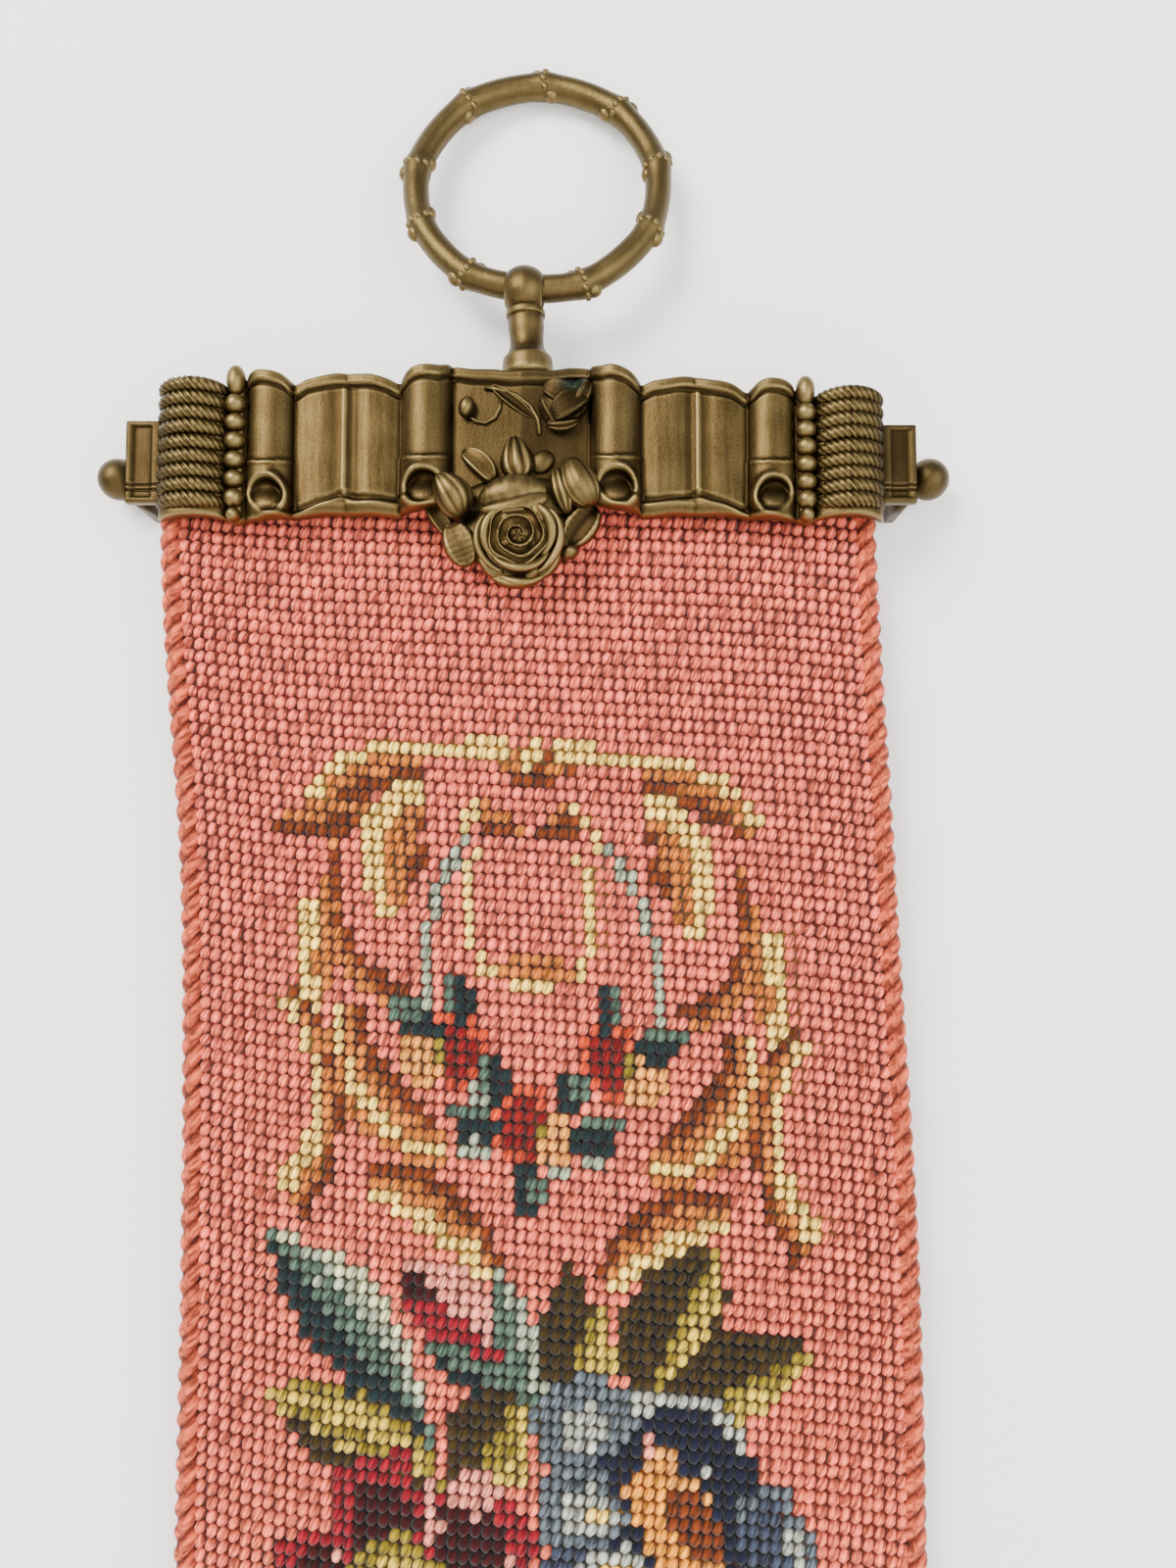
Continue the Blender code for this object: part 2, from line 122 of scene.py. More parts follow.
def capped(values):
    # values for the corners of a closed shape, whose two cap middles come last
    return np.append(values, [0, 0])


def joined(shapes):
    # one shape from several, their corner numbers moved on
    offsets = np.cumsum([0] + [len(s[0]) for s in shapes[:-1]])
    return (
        np.vstack([s[0] for s in shapes]),
        np.vstack([s[1] + k for s, k in zip(shapes, offsets)]),
        np.vstack([s[2] + k for s, k in zip(shapes, offsets)]),
    )


def piece(name, shape, material, replaced, colours=None, uvs=None, extra=None):
    # a smooth mesh that stands for one CAD node, with a yarn colour, a map and named values at its corners
    verts, quads, tris = shape
    mesh = bpy.data.meshes.new(name)
    loops = np.concatenate([quads.ravel(), tris.ravel()]).astype(np.int32)
    starts = np.concatenate([np.arange(len(quads)) * 4, len(quads) * 4 + np.arange(len(tris)) * 3])
    mesh.vertices.add(len(verts))
    mesh.vertices.foreach_set("co", np.ascontiguousarray(verts, dtype=np.float32).ravel())
    mesh.loops.add(len(loops))
    mesh.loops.foreach_set("vertex_index", loops)
    mesh.polygons.add(len(starts))
    mesh.polygons.foreach_set("loop_start", starts.astype(np.int32))
    mesh.update(calc_edges=True)
    mesh.validate()
    mesh.shade_smooth()
    if colours is not None:
        layer = mesh.color_attributes.new("yarn", "FLOAT_COLOR", "POINT")
        opaque = np.column_stack([colours, np.ones(len(verts))])
        layer.data.foreach_set("color", opaque.astype(np.float32).ravel())
    if uvs is not None:
        layer = mesh.uv_layers.new(name="OFBake")
        layer.uv.foreach_set("vector", uvs[loops].astype(np.float32).ravel())
    for key, values in (extra or {}).items():
        layer = mesh.attributes.new(key, "FLOAT", "POINT")
        layer.data.foreach_set("value", values.astype(np.float32))
    mesh.materials.append(material)
    made = bpy.data.objects.new(name, mesh)
    bpy.context.scene.collection.objects.link(made)
    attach(made, "root")
    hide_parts(replaced)
    return made


# materials
def linear(hexColour):
    # an sRGB hex colour as linear light
    value = np.array([int(hexColour[i:i + 2], 16) for i in (1, 3, 5)]) / 255
    return np.where(value <= 0.04045, value / 12.92, ((value + 0.055) / 1.055) ** 2.4)


def rgba(hexColour):
    # the same as an opaque colour for a socket
    return (*linear(hexColour), 1)


def node(tree, kind, settings=None, links=None):
    # adds a node, sets its properties and sockets by name or number, and links its inputs
    made = tree.nodes.new(kind)
    for key, value in (settings or {}).items():
        if isinstance(key, str) and hasattr(made, key):
            setattr(made, key, value)
        else:
            made.inputs[key].default_value = value
    for key, source in (links or {}).items():
        tree.links.new(source, made.inputs[key])
    return made


def newMaterial(name, settings):
    # a material, its node tree and its shader with those settings
    made = bpy.data.materials.new(name)
    made.use_nodes = True
    shader = made.node_tree.nodes["Principled BSDF"]
    for key, value in settings.items():
        shader.inputs[key].default_value = value
    return made, made.node_tree, shader


def woolYarn(name, strandDepth=0.6, shades=(0.32, 1.5)):
    # crewel wool, loosely twisted from two or three strands: each stitch is matt and a little fuzzy, with its
    # strands lying side by side along it, painted dark between them as shade and pale on top as highlight
    made, tree, shader = newMaterial(name, {
        "Roughness": 0.9, "Specular IOR Level": 0.2, "Sheen Weight": 0.12, "Sheen Roughness": 0.5,
    })
    yarn, lane, run = (
        node(tree, "ShaderNodeAttribute", {"attribute_name": key}) for key in ("yarn", "lane", "run")
    )
    place = node(tree, "ShaderNodeCombineXYZ", links={"X": lane.outputs["Fac"], "Y": run.outputs["Fac"]})
    # strands: about three across a stitch, drawn out six times along it
    drawn = node(tree, "ShaderNodeMapping", {"Scale": (1.0, 0.16, 1.0)}, {"Vector": place.outputs[0]})
    settings = {"noise_dimensions": "2D", "Scale": 1.9, "Detail": 2.0, "Roughness": 0.55}
    strands = node(tree, "ShaderNodeTexNoise", settings, {"Vector": drawn.outputs[0]}).outputs["Fac"]
    # the strands' colour is scaled from painted shade between them up to painted highlight on their tops
    shade = node(
        tree, "ShaderNodeMapRange",
        {"From Min": 0.34, "From Max": 0.66, "To Min": shades[0], "To Max": shades[1]}, {"Value": strands},
    )
    # fibres vary it a little, drawn a third of a millimetre apart, coarser than real ones, so that they show
    fibres = node(
        tree, "ShaderNodeTexNoise", {"Scale": 1 / (0.35 * mm), "Detail": 2.0},
        {"Vector": node(tree, "ShaderNodeTexCoord").outputs["Object"]},
    ).outputs["Fac"]
    fuzz = node(
        tree, "ShaderNodeMapRange",
        {"From Min": 0.3, "From Max": 0.7, "To Min": 0.93, "To Max": 1.07}, {"Value": fibres},
    )
    both = node(tree, "ShaderNodeMath", {"operation": "MULTIPLY"}, {0: shade.outputs[0], 1: fuzz.outputs[0]})
    links = {0: yarn.outputs["Color"], "Scale": both.outputs[0]}
    colour = node(tree, "ShaderNodeVectorMath", {"operation": "SCALE"}, links)
    bump = node(tree, "ShaderNodeBump", {"Strength": strandDepth, "Distance": 0.25 * mm}, {"Height": strands})
    tree.links.new(colour.outputs[0], shader.inputs["Base Color"])
    tree.links.new(bump.outputs[0], shader.inputs["Normal"])
    return made


# the cloth
hang = {  # in mm: height, middle and half width of the cloth, and how far it stands behind the rod's front
    "height": (-980, -700, -500, -345, -275, -192, -108, -90),
    "middle": (4.0, 4.6, 5.4, 5.1, 4.7, 2.0, -3.0, -3.2),
    "half": (79.4, 79.2, 79.4, 79.4, 79.2, 78.0, 79.4, 79.4),
    "back": (6.6, 5.6, 4.0, 2.2, 1.4, 0.6, 0.0, 0.0),
    "ripple": 0.9, "rippleStart": -104.0, "rippleFade": 60.0, "rippleAcross": 230.0, "rippleDown": 310.0,
    "thickness": 2.5, "slack": 0.36, "flatWidth": 159.0, "sleeve": 34.0, "hem": 22.0,
}
clothHalf = 79 * mm  # one round half width, for how the rows fall and how far the canvas reaches
rodLow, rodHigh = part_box("hanger_rod")
panelLow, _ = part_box("needlepoint_panel")
rodY, rodZ = (rodLow.y + rodHigh.y) / 2, (rodLow.z + rodHigh.z) / 2
rodRadius = (rodHigh.z - rodLow.z) / 2
loopRadius = rodRadius + (hang["thickness"] / 2 + hang["slack"]) * mm
frontY = rodY - loopRadius


def eased(x, places, values):
    # Hermite curve through the values, each slope that of its neighbours' chord
    places, values = np.asarray(places, float) * mm, np.asarray(values, float) * mm
    slopes = np.gradient(values, places)
    i = np.clip(np.searchsorted(places, x) - 1, 0, len(places) - 2)
    width = places[i + 1] - places[i]
    t = np.clip((x - places[i]) / width, 0, 1)
    return hermite(t, values[i], values[i + 1], width * slopes[i], width * slopes[i + 1])


def clothPoint(u, z):
    # the middle of the hanging cloth's thickness at u across (-1 to 1) and height z: an eased middle line and
    # width, with a wave that fades out at the rod
    x = eased(z, hang["height"], hang["middle"]) + u * eased(z, hang["height"], hang["half"])
    fade = np.clip((hang["rippleStart"] * mm - z) / (hang["rippleFade"] * mm), 0, 1)
    wave = np.sin(tau * (x / (hang["rippleAcross"] * mm) + 0.2)) * np.cos(tau * z / (hang["rippleDown"] * mm))
    y = frontY + eased(z, hang["height"], hang["back"]) - hang["ripple"] * mm * fade * wave
    return np.stack([x, y, z + 0 * x], axis=-1)


# the stitch chart
stitch = {
    "columns": 62,
    "pitch": 2.95 * mm,  # from row to row
    "firstRow": -97.0 * mm,
    "slopeDown": (0.035, 0.065, 0.10),  # how steeply the rows fall to the right, at these depths
    "slopeAt": (100, 190, 300),
    "leftBend": (0.10, 0.20),  # how much steeper they are at the side edges, from the header down
    "rightBend": (0.12, 0.08),
    "bendAt": (100, 300),
    "length": 3.5 * mm,
    "width": 2.95 * mm,
    "height": 1.4 * mm,
    "tilt": 25.0,  # degrees from upright, leaning to the right
    "top": -94 * mm,  # no stitch is worked above this, nor this near the bottom fold
    "clearOfFold": 2.4 * mm,
    "sunk": 0.3 * mm,  # how far in front of the cloth's middle the canvas lies
    "strayAcross": 0.0012,  # how far stitches stray from their places, in half widths of the cloth
    "strayDown": 0.05 * mm,
    "strayTilt": 4.0,
    "straySizes": (0.035, 0.045, 0.06),  # shares of length, width and height
    "strayDye": 0.06,
    "groundLower": "#D45F43",  # the ground further down, and the depths between which it gets there
    "lowerFrom": 180,
    "lowerOver": 220,
    "fuzz": "#E6C0AE",  # the pale fuzz that greys the back and the sleeve
}
rows = int((stitch["firstRow"] - panelLow.z) / stitch["pitch"]) + 6
palette = {
    "ground": "#D05B46", "cream": "#EFC152", "gold": "#A75914", "rust": "#5E2605", "mist": "#858D76",
    "pale": "#B5B98C", "sage": "#3E5144", "teal": "#0D1B1D", "red": "#640607", "coral": "#B03410",
    "apricot": "#D08530", "crimson": "#7A0518", "maroon": "#2C0103", "blush": "#D27A68", "olive": "#2C1F04",
    "moss": "#76640E", "lemon": "#B89C2C", "navy": "#0B0E20", "slate": "#2E3444", "steel": "#4C545B",
    "silver": "#93958A", "amber": "#D8860C",
}
names = list(palette)
chart = np.zeros((rows, stitch["columns"]), int)
cellC, cellR = np.meshgrid(np.arange(stitch["columns"]) + 0.5, np.arange(rows) + 0.5)


def paint(mask, colour):
    chart[mask] = names.index(colour)


def strokeBands(line, bands, taper, mirrored):
    # a stroke along a line: cells near it, shaded in bands by how far they lie to its right; the borders, in
    # stitches at full width, and the colours come in turn, and taper is the width at start, middle and end
    share = np.linspace(0, 1, len(line))
    swell = parabola(share, *taper)
    along = unit(np.gradient(line, axis=0))
    for across in (cellC, stitch["columns"] - cellC) if mirrored else (cellC,):
        cells = np.stack([across.ravel(), cellR.ravel()], axis=-1)
        away = cells[:, None, :] - line[None]
        near = np.argmin((away**2).sum(-1), axis=1)
        offset = away[np.arange(len(cells)), near]
        side = along[near, 0] * offset[:, 1] - along[near, 1] * offset[:, 0]
        reached = np.abs((offset * along[near]).sum(-1)) < 0.55
        for low, colour, high in zip(bands[::2], bands[1::2], bands[2::2]):
            inside = (side >= low * swell[near]) & (side < high * swell[near]) & reached
            paint(inside.reshape(cellC.shape), colour)


def scroll(middle, radii, start, end, bands, taper=(1, 1, 1), square=2.0, mirrored=True):
    # a C scroll: an arc of an ellipse from one angle to another in degrees, clockwise from the right; the
    # power squares its corners: offset = radius · cosine^(2 / square), with its sign kept
    angle = np.radians(np.linspace(start, end, 90))
    turn = np.stack([np.cos(angle), np.sin(angle)], axis=-1)
    line = np.array(middle) + np.array(radii) * np.sign(turn) * np.abs(turn) ** (2 / square)
    strokeBands(line, bands, taper, mirrored)


def leaf(stalk, tip, width, bands, bend=0.0, belly=0.5, blunt=0.8):
    # half width = width / 2 · sin(pi · t^k)^blunt along it, with k setting where its belly is; borders and
    # colours come in turn across it, from -1 at its left edge to 1 at its right, seen from the stalk
    stalk, tip = np.array(stalk, float), np.array(tip, float)
    length = np.linalg.norm(tip - stalk)
    axis = (tip - stalk) / length
    dc, dr = cellC - stalk[0], cellR - stalk[1]
    t = np.clip((dc * axis[0] + dr * axis[1]) / length, 0, 1)
    side = dr * axis[0] - dc * axis[1] - bend * np.sin(np.pi * t)
    half = width / 2 * np.sin(np.pi * t ** (np.log(0.5) / np.log(belly))) ** blunt + 1e-6
    for low, colour, high in zip(bands[::2], bands[1::2], bands[2::2]):
        paint((side / half >= low) & (side / half < high) & (t > 0) & (t < 1), colour)


def petal(middle, radii, rings, turn=0.0, lean=(0.0, 0.0), ruffle=0.07):
    # a round petal: its rings from outside in, each colour and then the share of its reach where the next
    # begins, shrink towards a leaning heart; its edge swells by ruffle · cos(5 · angle)
    cos, sin = np.cos(np.radians(turn)), np.sin(np.radians(turn))
    for limit, colour in zip((1.0, *rings[1::2]), rings[::2]):
        dc = cellC - middle[0] - lean[0] * (1 - limit)
        dr = cellR - middle[1] - lean[1] * (1 - limit)
        u, v = (dc * cos + dr * sin) / radii[0], (dr * cos - dc * sin) / radii[1]
        paint(np.hypot(u, v) < limit * (1 + ruffle * np.cos(5 * np.arctan2(v, u))), colour)


def sprig(c, r, upright, facing):
    # a pair of small leaves side by side, one dark and one light, a stitch apart along their length
    if upright:
        leaf((c, r + 2.2), (c, r - 2.0), 2.0, (-1, "teal", 1), blunt=0.3)
        leaf((c + facing, r + 1.0), (c + facing, r - 1.6), 1.4, (-1, "sage", 1), blunt=0.3)
    else:
        leaf((c - 2.0, r + 0.6), (c + 2.2, r + 0.6), 2.1, (-1, "teal", 1), blunt=0.3)
        leaf((c - 2.0 - facing, r - 0.8), (c + 2.0 - facing, r - 0.8), 1.4, (-1, "sage", 1), blunt=0.3)


def paintScrolls():
    # a symmetric frame of C scrolls, each a cream line backed by gold and rust
    cream = (-0.55, "cream", 0.55)
    scroll((31.0, 29.6), (20.4, 7.6), 249, 192, (-3.5, "rust", -2.0, "gold", 0.0), (0.8, 1.0, 0.7), 3.2)
    scroll((31.0, 29.6), (20.4, 7.6), 268, 194, cream, square=3.2)
    leaf((17.0, 27.0), (6.8, 29.2), 3.2, (-1, "rust", 0.0, "gold", 1), bend=-0.4)
    scroll((20.8, 33.6), (8.4, 8.2), 196, 104, (-0.8, "rust", 0.3, "gold", 1.4), (0.5, 0.9, 1.1), 2.6)
    scroll((16.2, 39.4), (6.6, 9.2), 208, 152, (-2.2, "gold", -0.9, "cream", 0.9), (1.0, 1.0, 0.5))
    backed = (-2.4, "rust", -1.6, "gold", -0.8, "cream", 0.8)
    scroll((4.4, 50.2), (6.2, 8.0), -56, 58, backed, (0.6, 0.8, 1.3))
    backed = (-4.6, "rust", -3.4, "gold", -1.2, "cream", 0.8)
    scroll((20.8, 31.4), (4.9, 5.7), 268, 132, backed, (0.7, 1.1, 0.5), 2.4)
    backed = (-3.2, "rust", -2.1, "gold", -0.55, "cream", 0.55, "gold", 1.5)
    scroll((21.6, 44.4), (9.0, 9.4), 186, 92, backed, (0.6, 1.1, 0.7))
    backed = (-1.7, "rust", -0.6, "gold", 0.6, "cream", 1.9)
    scroll((14.6, 66.4), (12.4, 10.0), 276, 334, backed, (0.7, 1.25, 0.7))
    # the oval inside it, open above, a small bow over it, and the stems of mist
    scroll((30.0, 34.6), (5.8, 5.6), 222, -42, (-0.5, "cream", 0.5), square=2.6, mirrored=False)
    leaf((27.4, 39.2), (34.0, 39.2), 2.2, (-1, "gold", 1), blunt=0.4)
    leaf((29.9, 28.9), (25.0, 26.8), 2.6, (-1, "rust", -0.1, "gold", 1))
    leaf((30.9, 28.9), (35.8, 26.8), 3.0, (-1, "gold", -0.2, "rust", 1))
    scroll((30.2, 29.0), (6.0, 3.4), 178, 222, cream, mirrored=False)
    scroll((30.2, 29.0), (6.0, 3.4), 2, -42, cream, mirrored=False)
    leaf((27.6, 23.6), (34.6, 23.4), 2.4, (-1, "gold", 0.1, "rust", 1), blunt=0.5)
    leaf((31.4, 24.6), (31.6, 20.6), 2.2, (-1, "cream", 0.0, "rust", 1), blunt=0.4)
    scroll((31.0, 42.6), (10.8, 15.4), 234, 180, (-0.5, "mist", 0.5), square=2.2)


def paintGarland():
    # three small blossoms, each red with one lit side, between pairs of little dark leaves
    for c, r, lit in ((23.2, 45.8, -1), (36.8, 45.8, 1), (29.0, 51.2, 1)):
        petal((c, r), (2.9, 3.2), ("coral", 0.66, "red"), lean=(0.4 * lit, 0.4))
        petal((c + 3.0 * lit, r + 1.0), (1.9, 2.3), ("apricot",))
        petal((c + 1.6 * lit, r + 0.2), (0.7, 0.7), ("moss",))
    for row in (
        (23.6, 42.0, True, -1), (36.6, 42.0, True, 1), (19.6, 43.8, False, 1), (40.8, 44.0, False, -1),
        (26.6, 47.8, True, -1), (33.0, 48.4, True, 1), (24.6, 51.0, False, 1), (35.2, 51.4, False, -1),
        (29.0, 56.0, True, 1),
    ):
        sprig(*row)
    for c, r in ((24.6, 53.2), (34.8, 53.6), (24.8, 49.2), (32.2, 54.6)):
        petal((c, r), (1.2, 0.8), ("mist",))


def paintBouquet():
    # leaves and the bud first, then the two open flowers; each leaf runs from a lit edge to a dark one
    shades = (-1, "teal", -0.3, "sage", 0.3, "mist", 0.7, "pale", 1)
    leaf((20.8, 75.0), (6.2, 61.4), 7.4, shades, bend=0.6, belly=0.56)
    leaf((20.6, 77.4), (20.6, 73.6), 1.4, (-1, "sage", 1), blunt=0.3)
    leaf((27.4, 68.6), (17.6, 62.4), 6.6, (-1, "crimson", -0.1, "blush", 1), belly=0.52)
    petal((18.8, 63.6), (1.2, 1.2), ("maroon",))
    leaf((29.6, 72.6), (25.8, 61.8), 4.0, (-1, "sage", 0.1, "mist", 1), bend=0.5, belly=0.4)
    leaf((30.0, 72.4), (19.4, 68.2), 3.4, (-1, "teal", -0.2, "sage", 1), bend=0.2, belly=0.4)
    leaf((33.0, 71.6), (32.6, 61.2), 5.8, (-1, "olive", 1), belly=0.4)
    leaf((34.6, 71.2), (35.4, 64.0), 3.4, (-1, "moss", -0.4, "lemon", 1), belly=0.4)
    shades = (-1, "olive", 0.0, "moss", 0.25, "lemon", 0.7, "olive", 1)
    leaf((38.8, 71.8), (45.8, 58.6), 8.6, shades, bend=-0.4, belly=0.46)
    leaf((40.0, 71.0), (53.8, 65.8), 6.4, (-1, "olive", 0.1, "moss", 0.4, "lemon", 1), belly=0.52)
    shades = (-1, "olive", -0.5, "lemon", -0.25, "moss", 0.1, "lemon", 0.7, "moss", 1)
    leaf((22.0, 78.6), (5.8, 73.4), 6.6, shades, bend=0.4)
    leaf((23.4, 79.2), (28.0, 71.0), 7.6, (-1, "olive", 0.0, "moss", 0.5, "lemon", 1), belly=0.5)
    # leaves that close the bunch below
    leaf((28.0, 90.6), (19.6, 104.6), 7.2, (-1, "mist", -0.6, "sage", 0.1, "teal", 1))
    leaf((36.0, 90.0), (44.8, 102.6), 7.2, (-1, "lemon", -0.6, "moss", -0.1, "olive", 1))
    leaf((33.0, 87.0), (32.4, 108.0), 5.4, (-1, "sage", -0.1, "teal", 1))
    paintCrimson()
    paintBlue()


def paintCrimson():
    # five broad petals, crimson at their rims and maroon towards the mossy eye, with rosy lips
    for middle, radii, lean in (
        ((16.2, 81.2), (4.4, 4.6), (0.6, 2.2)), ((24.8, 82.4), (4.6, 4.8), (-2.8, 0.6)),
        ((10.8, 87.0), (4.2, 4.0), (2.4, -0.6)), ((15.6, 92.2), (4.4, 4.2), (0.8, -2.4)),
        ((23.6, 90.2), (4.6, 4.0), (-2.2, -1.6)),
    ):
        petal(middle, radii, ("crimson", 0.68, "maroon"), lean=lean)
    for middle, radii, turn in (
        ((24.4, 78.6), (2.6, 1.3), 8), ((20.3, 80.4), (0.6, 2.2), 0), ((27.4, 84.8), (1.5, 1.5), 0),
        ((12.6, 84.0), (1.0, 1.0), 0), ((17.0, 95.0), (1.8, 0.9), 0),
    ):
        petal(middle, radii, ("blush",), turn)
    petal((17.6, 85.9), (4.2, 3.5), ("moss", 0.62, "lemon", 0.26, "olive"), turn=-12)


def paintBlue():
    # a navy ground, grey petals lit from the left, and an amber eye with a rust heart
    petal((41.8, 80.2), (9.0, 9.6), ("navy",), ruffle=0.03)
    petal((43.0, 72.6), (5.2, 2.6), ("silver", 0.8, "navy"), turn=12, lean=(-1.0, 3.0))
    petal((36.2, 74.6), (3.6, 2.0), ("navy",), turn=-35)
    petal((33.8, 72.6), (4.8, 3.2), ("steel", 0.5, "silver"), turn=-24, lean=(0.6, 1.0))
    petal((33.4, 79.2), (3.9, 3.3), ("steel", 0.62, "silver", 0.25, "cream"), lean=(2.2, 0.4))
    petal((32.6, 84.4), (2.4, 2.6), ("slate",))
    petal((36.8, 85.4), (3.9, 3.8), ("silver", 0.6, "cream", 0.24, "silver"), lean=(0.6, -1.2))
    petal((50.2, 80.8), (3.4, 4.8), ("steel", 0.72, "slate"), lean=(-2.0, 0.0))
    petal((52.2, 80.2), (0.9, 1.4), ("silver",))
    petal((44.8, 88.8), (4.4, 3.6), ("steel", 0.55, "silver"), lean=(-0.6, 0.8))
    petal((39.3, 73.6), (0.7, 0.6), ("blush",))
    petal((41.9, 79.2), (5.1, 3.6), ("apricot", 0.84, "amber"), turn=52, lean=(-3.4, 0.6))
    petal((43.2, 79.2), (2.9, 2.0), ("rust",), turn=46)


def mottle():
    # here and there a stitch in the shaded parts took the colour of its neighbour
    neighbour = np.roll(chart, 1, axis=0)
    neighbour = np.where(chance.random(chart.shape) < 0.5, neighbour, np.roll(chart, 1, axis=1))
    shaded = (chart > 0) & (neighbour > 0) & (cellR > 60) & (chance.random(chart.shape) < 0.09)
    chart[shaded] = neighbour[shaded]


paintScrolls()
paintGarland()
paintBouquet()
mottle()
print("chart painted:", rows, "rows")


# the stitches
def rowFall(u, z):
    # how far a stitch at u lies below its row's middle: half the width times (slope · u + bend · u⁵ / 5), so
    # the rows slope down to the right, more at the edges
    depth = -z / mm
    slope = np.interp(depth, stitch["slopeAt"], stitch["slopeDown"])
    left, right = (np.interp(depth, stitch["bendAt"], stitch[side]) for side in ("leftBend", "rightBend"))
    return clothHalf * (slope * u + np.where(u < 0, left, right) * np.abs(u) ** 4 * u / 5)


def grainTemplate():
    # one plump closed stitch: three hexagons and two tips, as wide as the root of 1 - t^3.4 and sunk by
    # 0.22 · t² at t along it; columns are across, along and outward, in shares of its own half sizes
    t = np.array([-0.8, 0.0, 0.8])
    around = np.radians([0, 45, 90, 135, 180, 270])
    wide = (1 - np.abs(t) ** 3.4)[:, None] ** 0.5
    flatBack = np.where(np.sin(around) > 0, 1, 0.35)
    outward = wide * np.sin(around) * flatBack - 0.22 * t[:, None] ** 2
    across, along = wide * np.cos(around), t[:, None] + 0 * outward
    verts, quads, _ = grid(np.stack([across, along, outward], axis=-1))
    tips = np.array([[0, -1.0, -0.38], [0, 1.0, -0.38]])
    corner = np.arange(6)
    beside = np.roll(corner, -1)
    first = np.stack([beside, corner, np.full(6, 18)], axis=-1)
    last = np.stack([corner + 12, beside + 12, np.full(6, 19)], axis=-1)
    return facedOut((np.vstack([verts, tips]), quads, np.vstack([first, last])))


def stitchPieces():
    # every stitch as a turned and sized copy of the one plump shape, in four pieces from the top down
    template, quads, tris = grainTemplate()
    # the sides that face the canvas come first, so that the front wins where both share a place on the map
    hidden = np.isin(quads, (5, 11, 17)).any(axis=1)
    quads = np.vstack([quads[hidden], quads[~hidden]])
    u = (cellC / stitch["columns"]) * 2 - 1
    z = stitch["firstRow"] - cellR * stitch["pitch"]
    z = z - rowFall(u, z)
    kept = (z < stitch["top"]) & (z > panelLow.z + stitch["clearOfFold"])
    r, c = np.nonzero(kept)
    u, z = u[kept], z[kept]
    count = len(u)
    u = u + chance.normal(0, stitch["strayAcross"], count)
    z = z + chance.normal(0, stitch["strayDown"], count)
    # each stitch's own directions: along the row, up the cloth and out of it, then turned by its tilt
    middle = clothPoint(u, z)
    step = 1e-3
    right = unit(clothPoint(u + step, z - (rowFall(u + step, z) - rowFall(u, z))) - middle)
    up = unit(clothPoint(u, z + step) - middle)
    out = unit(np.cross(right, up))
    tilt = np.radians(stitch["tilt"] + chance.normal(0, stitch["strayTilt"], count))[:, None]
    lengthways = up * np.cos(tilt) + right * np.sin(tilt)
    sideways = np.cross(lengthways, out)
    sizes = zip((stitch["length"] / 2, stitch["width"] / 2, stitch["height"]), stitch["straySizes"])
    long, wide, high = (size * chance.normal(1, stray, count)[:, None, None] for size, stray in sizes)
    across, along, outward = (template[None, :, k:k + 1] for k in range(3))
    verts = (
        (middle + out * stitch["sunk"])[:, None, :] + sideways[:, None, :] * wide * across
        + lengthways[:, None, :] * long * along + out[:, None, :] * high * outward
    )
    # the ground wool warms a little down the panel, and no two lengths of yarn took the dye alike
    colour = yarnTable[chart[r, c]]
    lower = np.clip((-z / mm - stitch["lowerFrom"]) / stitch["lowerOver"], 0, 1) * (chart[r, c] == 0)
    colour = colour * (1 - lower[:, None]) + lower[:, None] * linear(stitch["groundLower"])
    dye = chance.normal(1, stitch["strayDye"], count) * (1 + 0.03 * np.sin(r * 0.9 + 0.4 * c))
    # painted shade and highlight: each stitch's colour is darkened and reddened towards its sunk sides and
    # ends, and lightened up to 1.4 times on its top
    depth = (0.11 + 1.29 * ease(template[:, 2:], -0.2, 1.1)) ** np.array([1.0, 1.16, 1.25])
    parts = ("top", "upper", "lower", "bottom")
    cuts = np.linspace(0, rows, len(parts) + 1)
    for part, start, end in zip(parts, cuts[:-1], cuts[1:]):
        chosen = np.nonzero((r >= start) & (r < end))[0]
        n = len(chosen)
        shift = (np.arange(n) * len(template))[:, None, None]
        places = verts[chosen].reshape(-1, 3)
        flat = places[:, [0, 2]]
        yield piece(
            "stitches_" + part,
            (places, (quads[None] + shift).reshape(-1, 4), (tris[None] + shift).reshape(-1, 3)),
            stitchWool, "needlepoint_panel",
            colours=np.clip((colour * dye[:, None])[chosen][:, None] * depth[None], 0, 1).reshape(-1, 3),
            uvs=(flat - flat.min(0)) / np.ptp(flat, axis=0),
            extra={
                key: np.tile(template[:, k], n) + np.repeat(chance.uniform(0, 50, n), len(template))
                for k, key in enumerate(("lane", "run"))
            },
        )


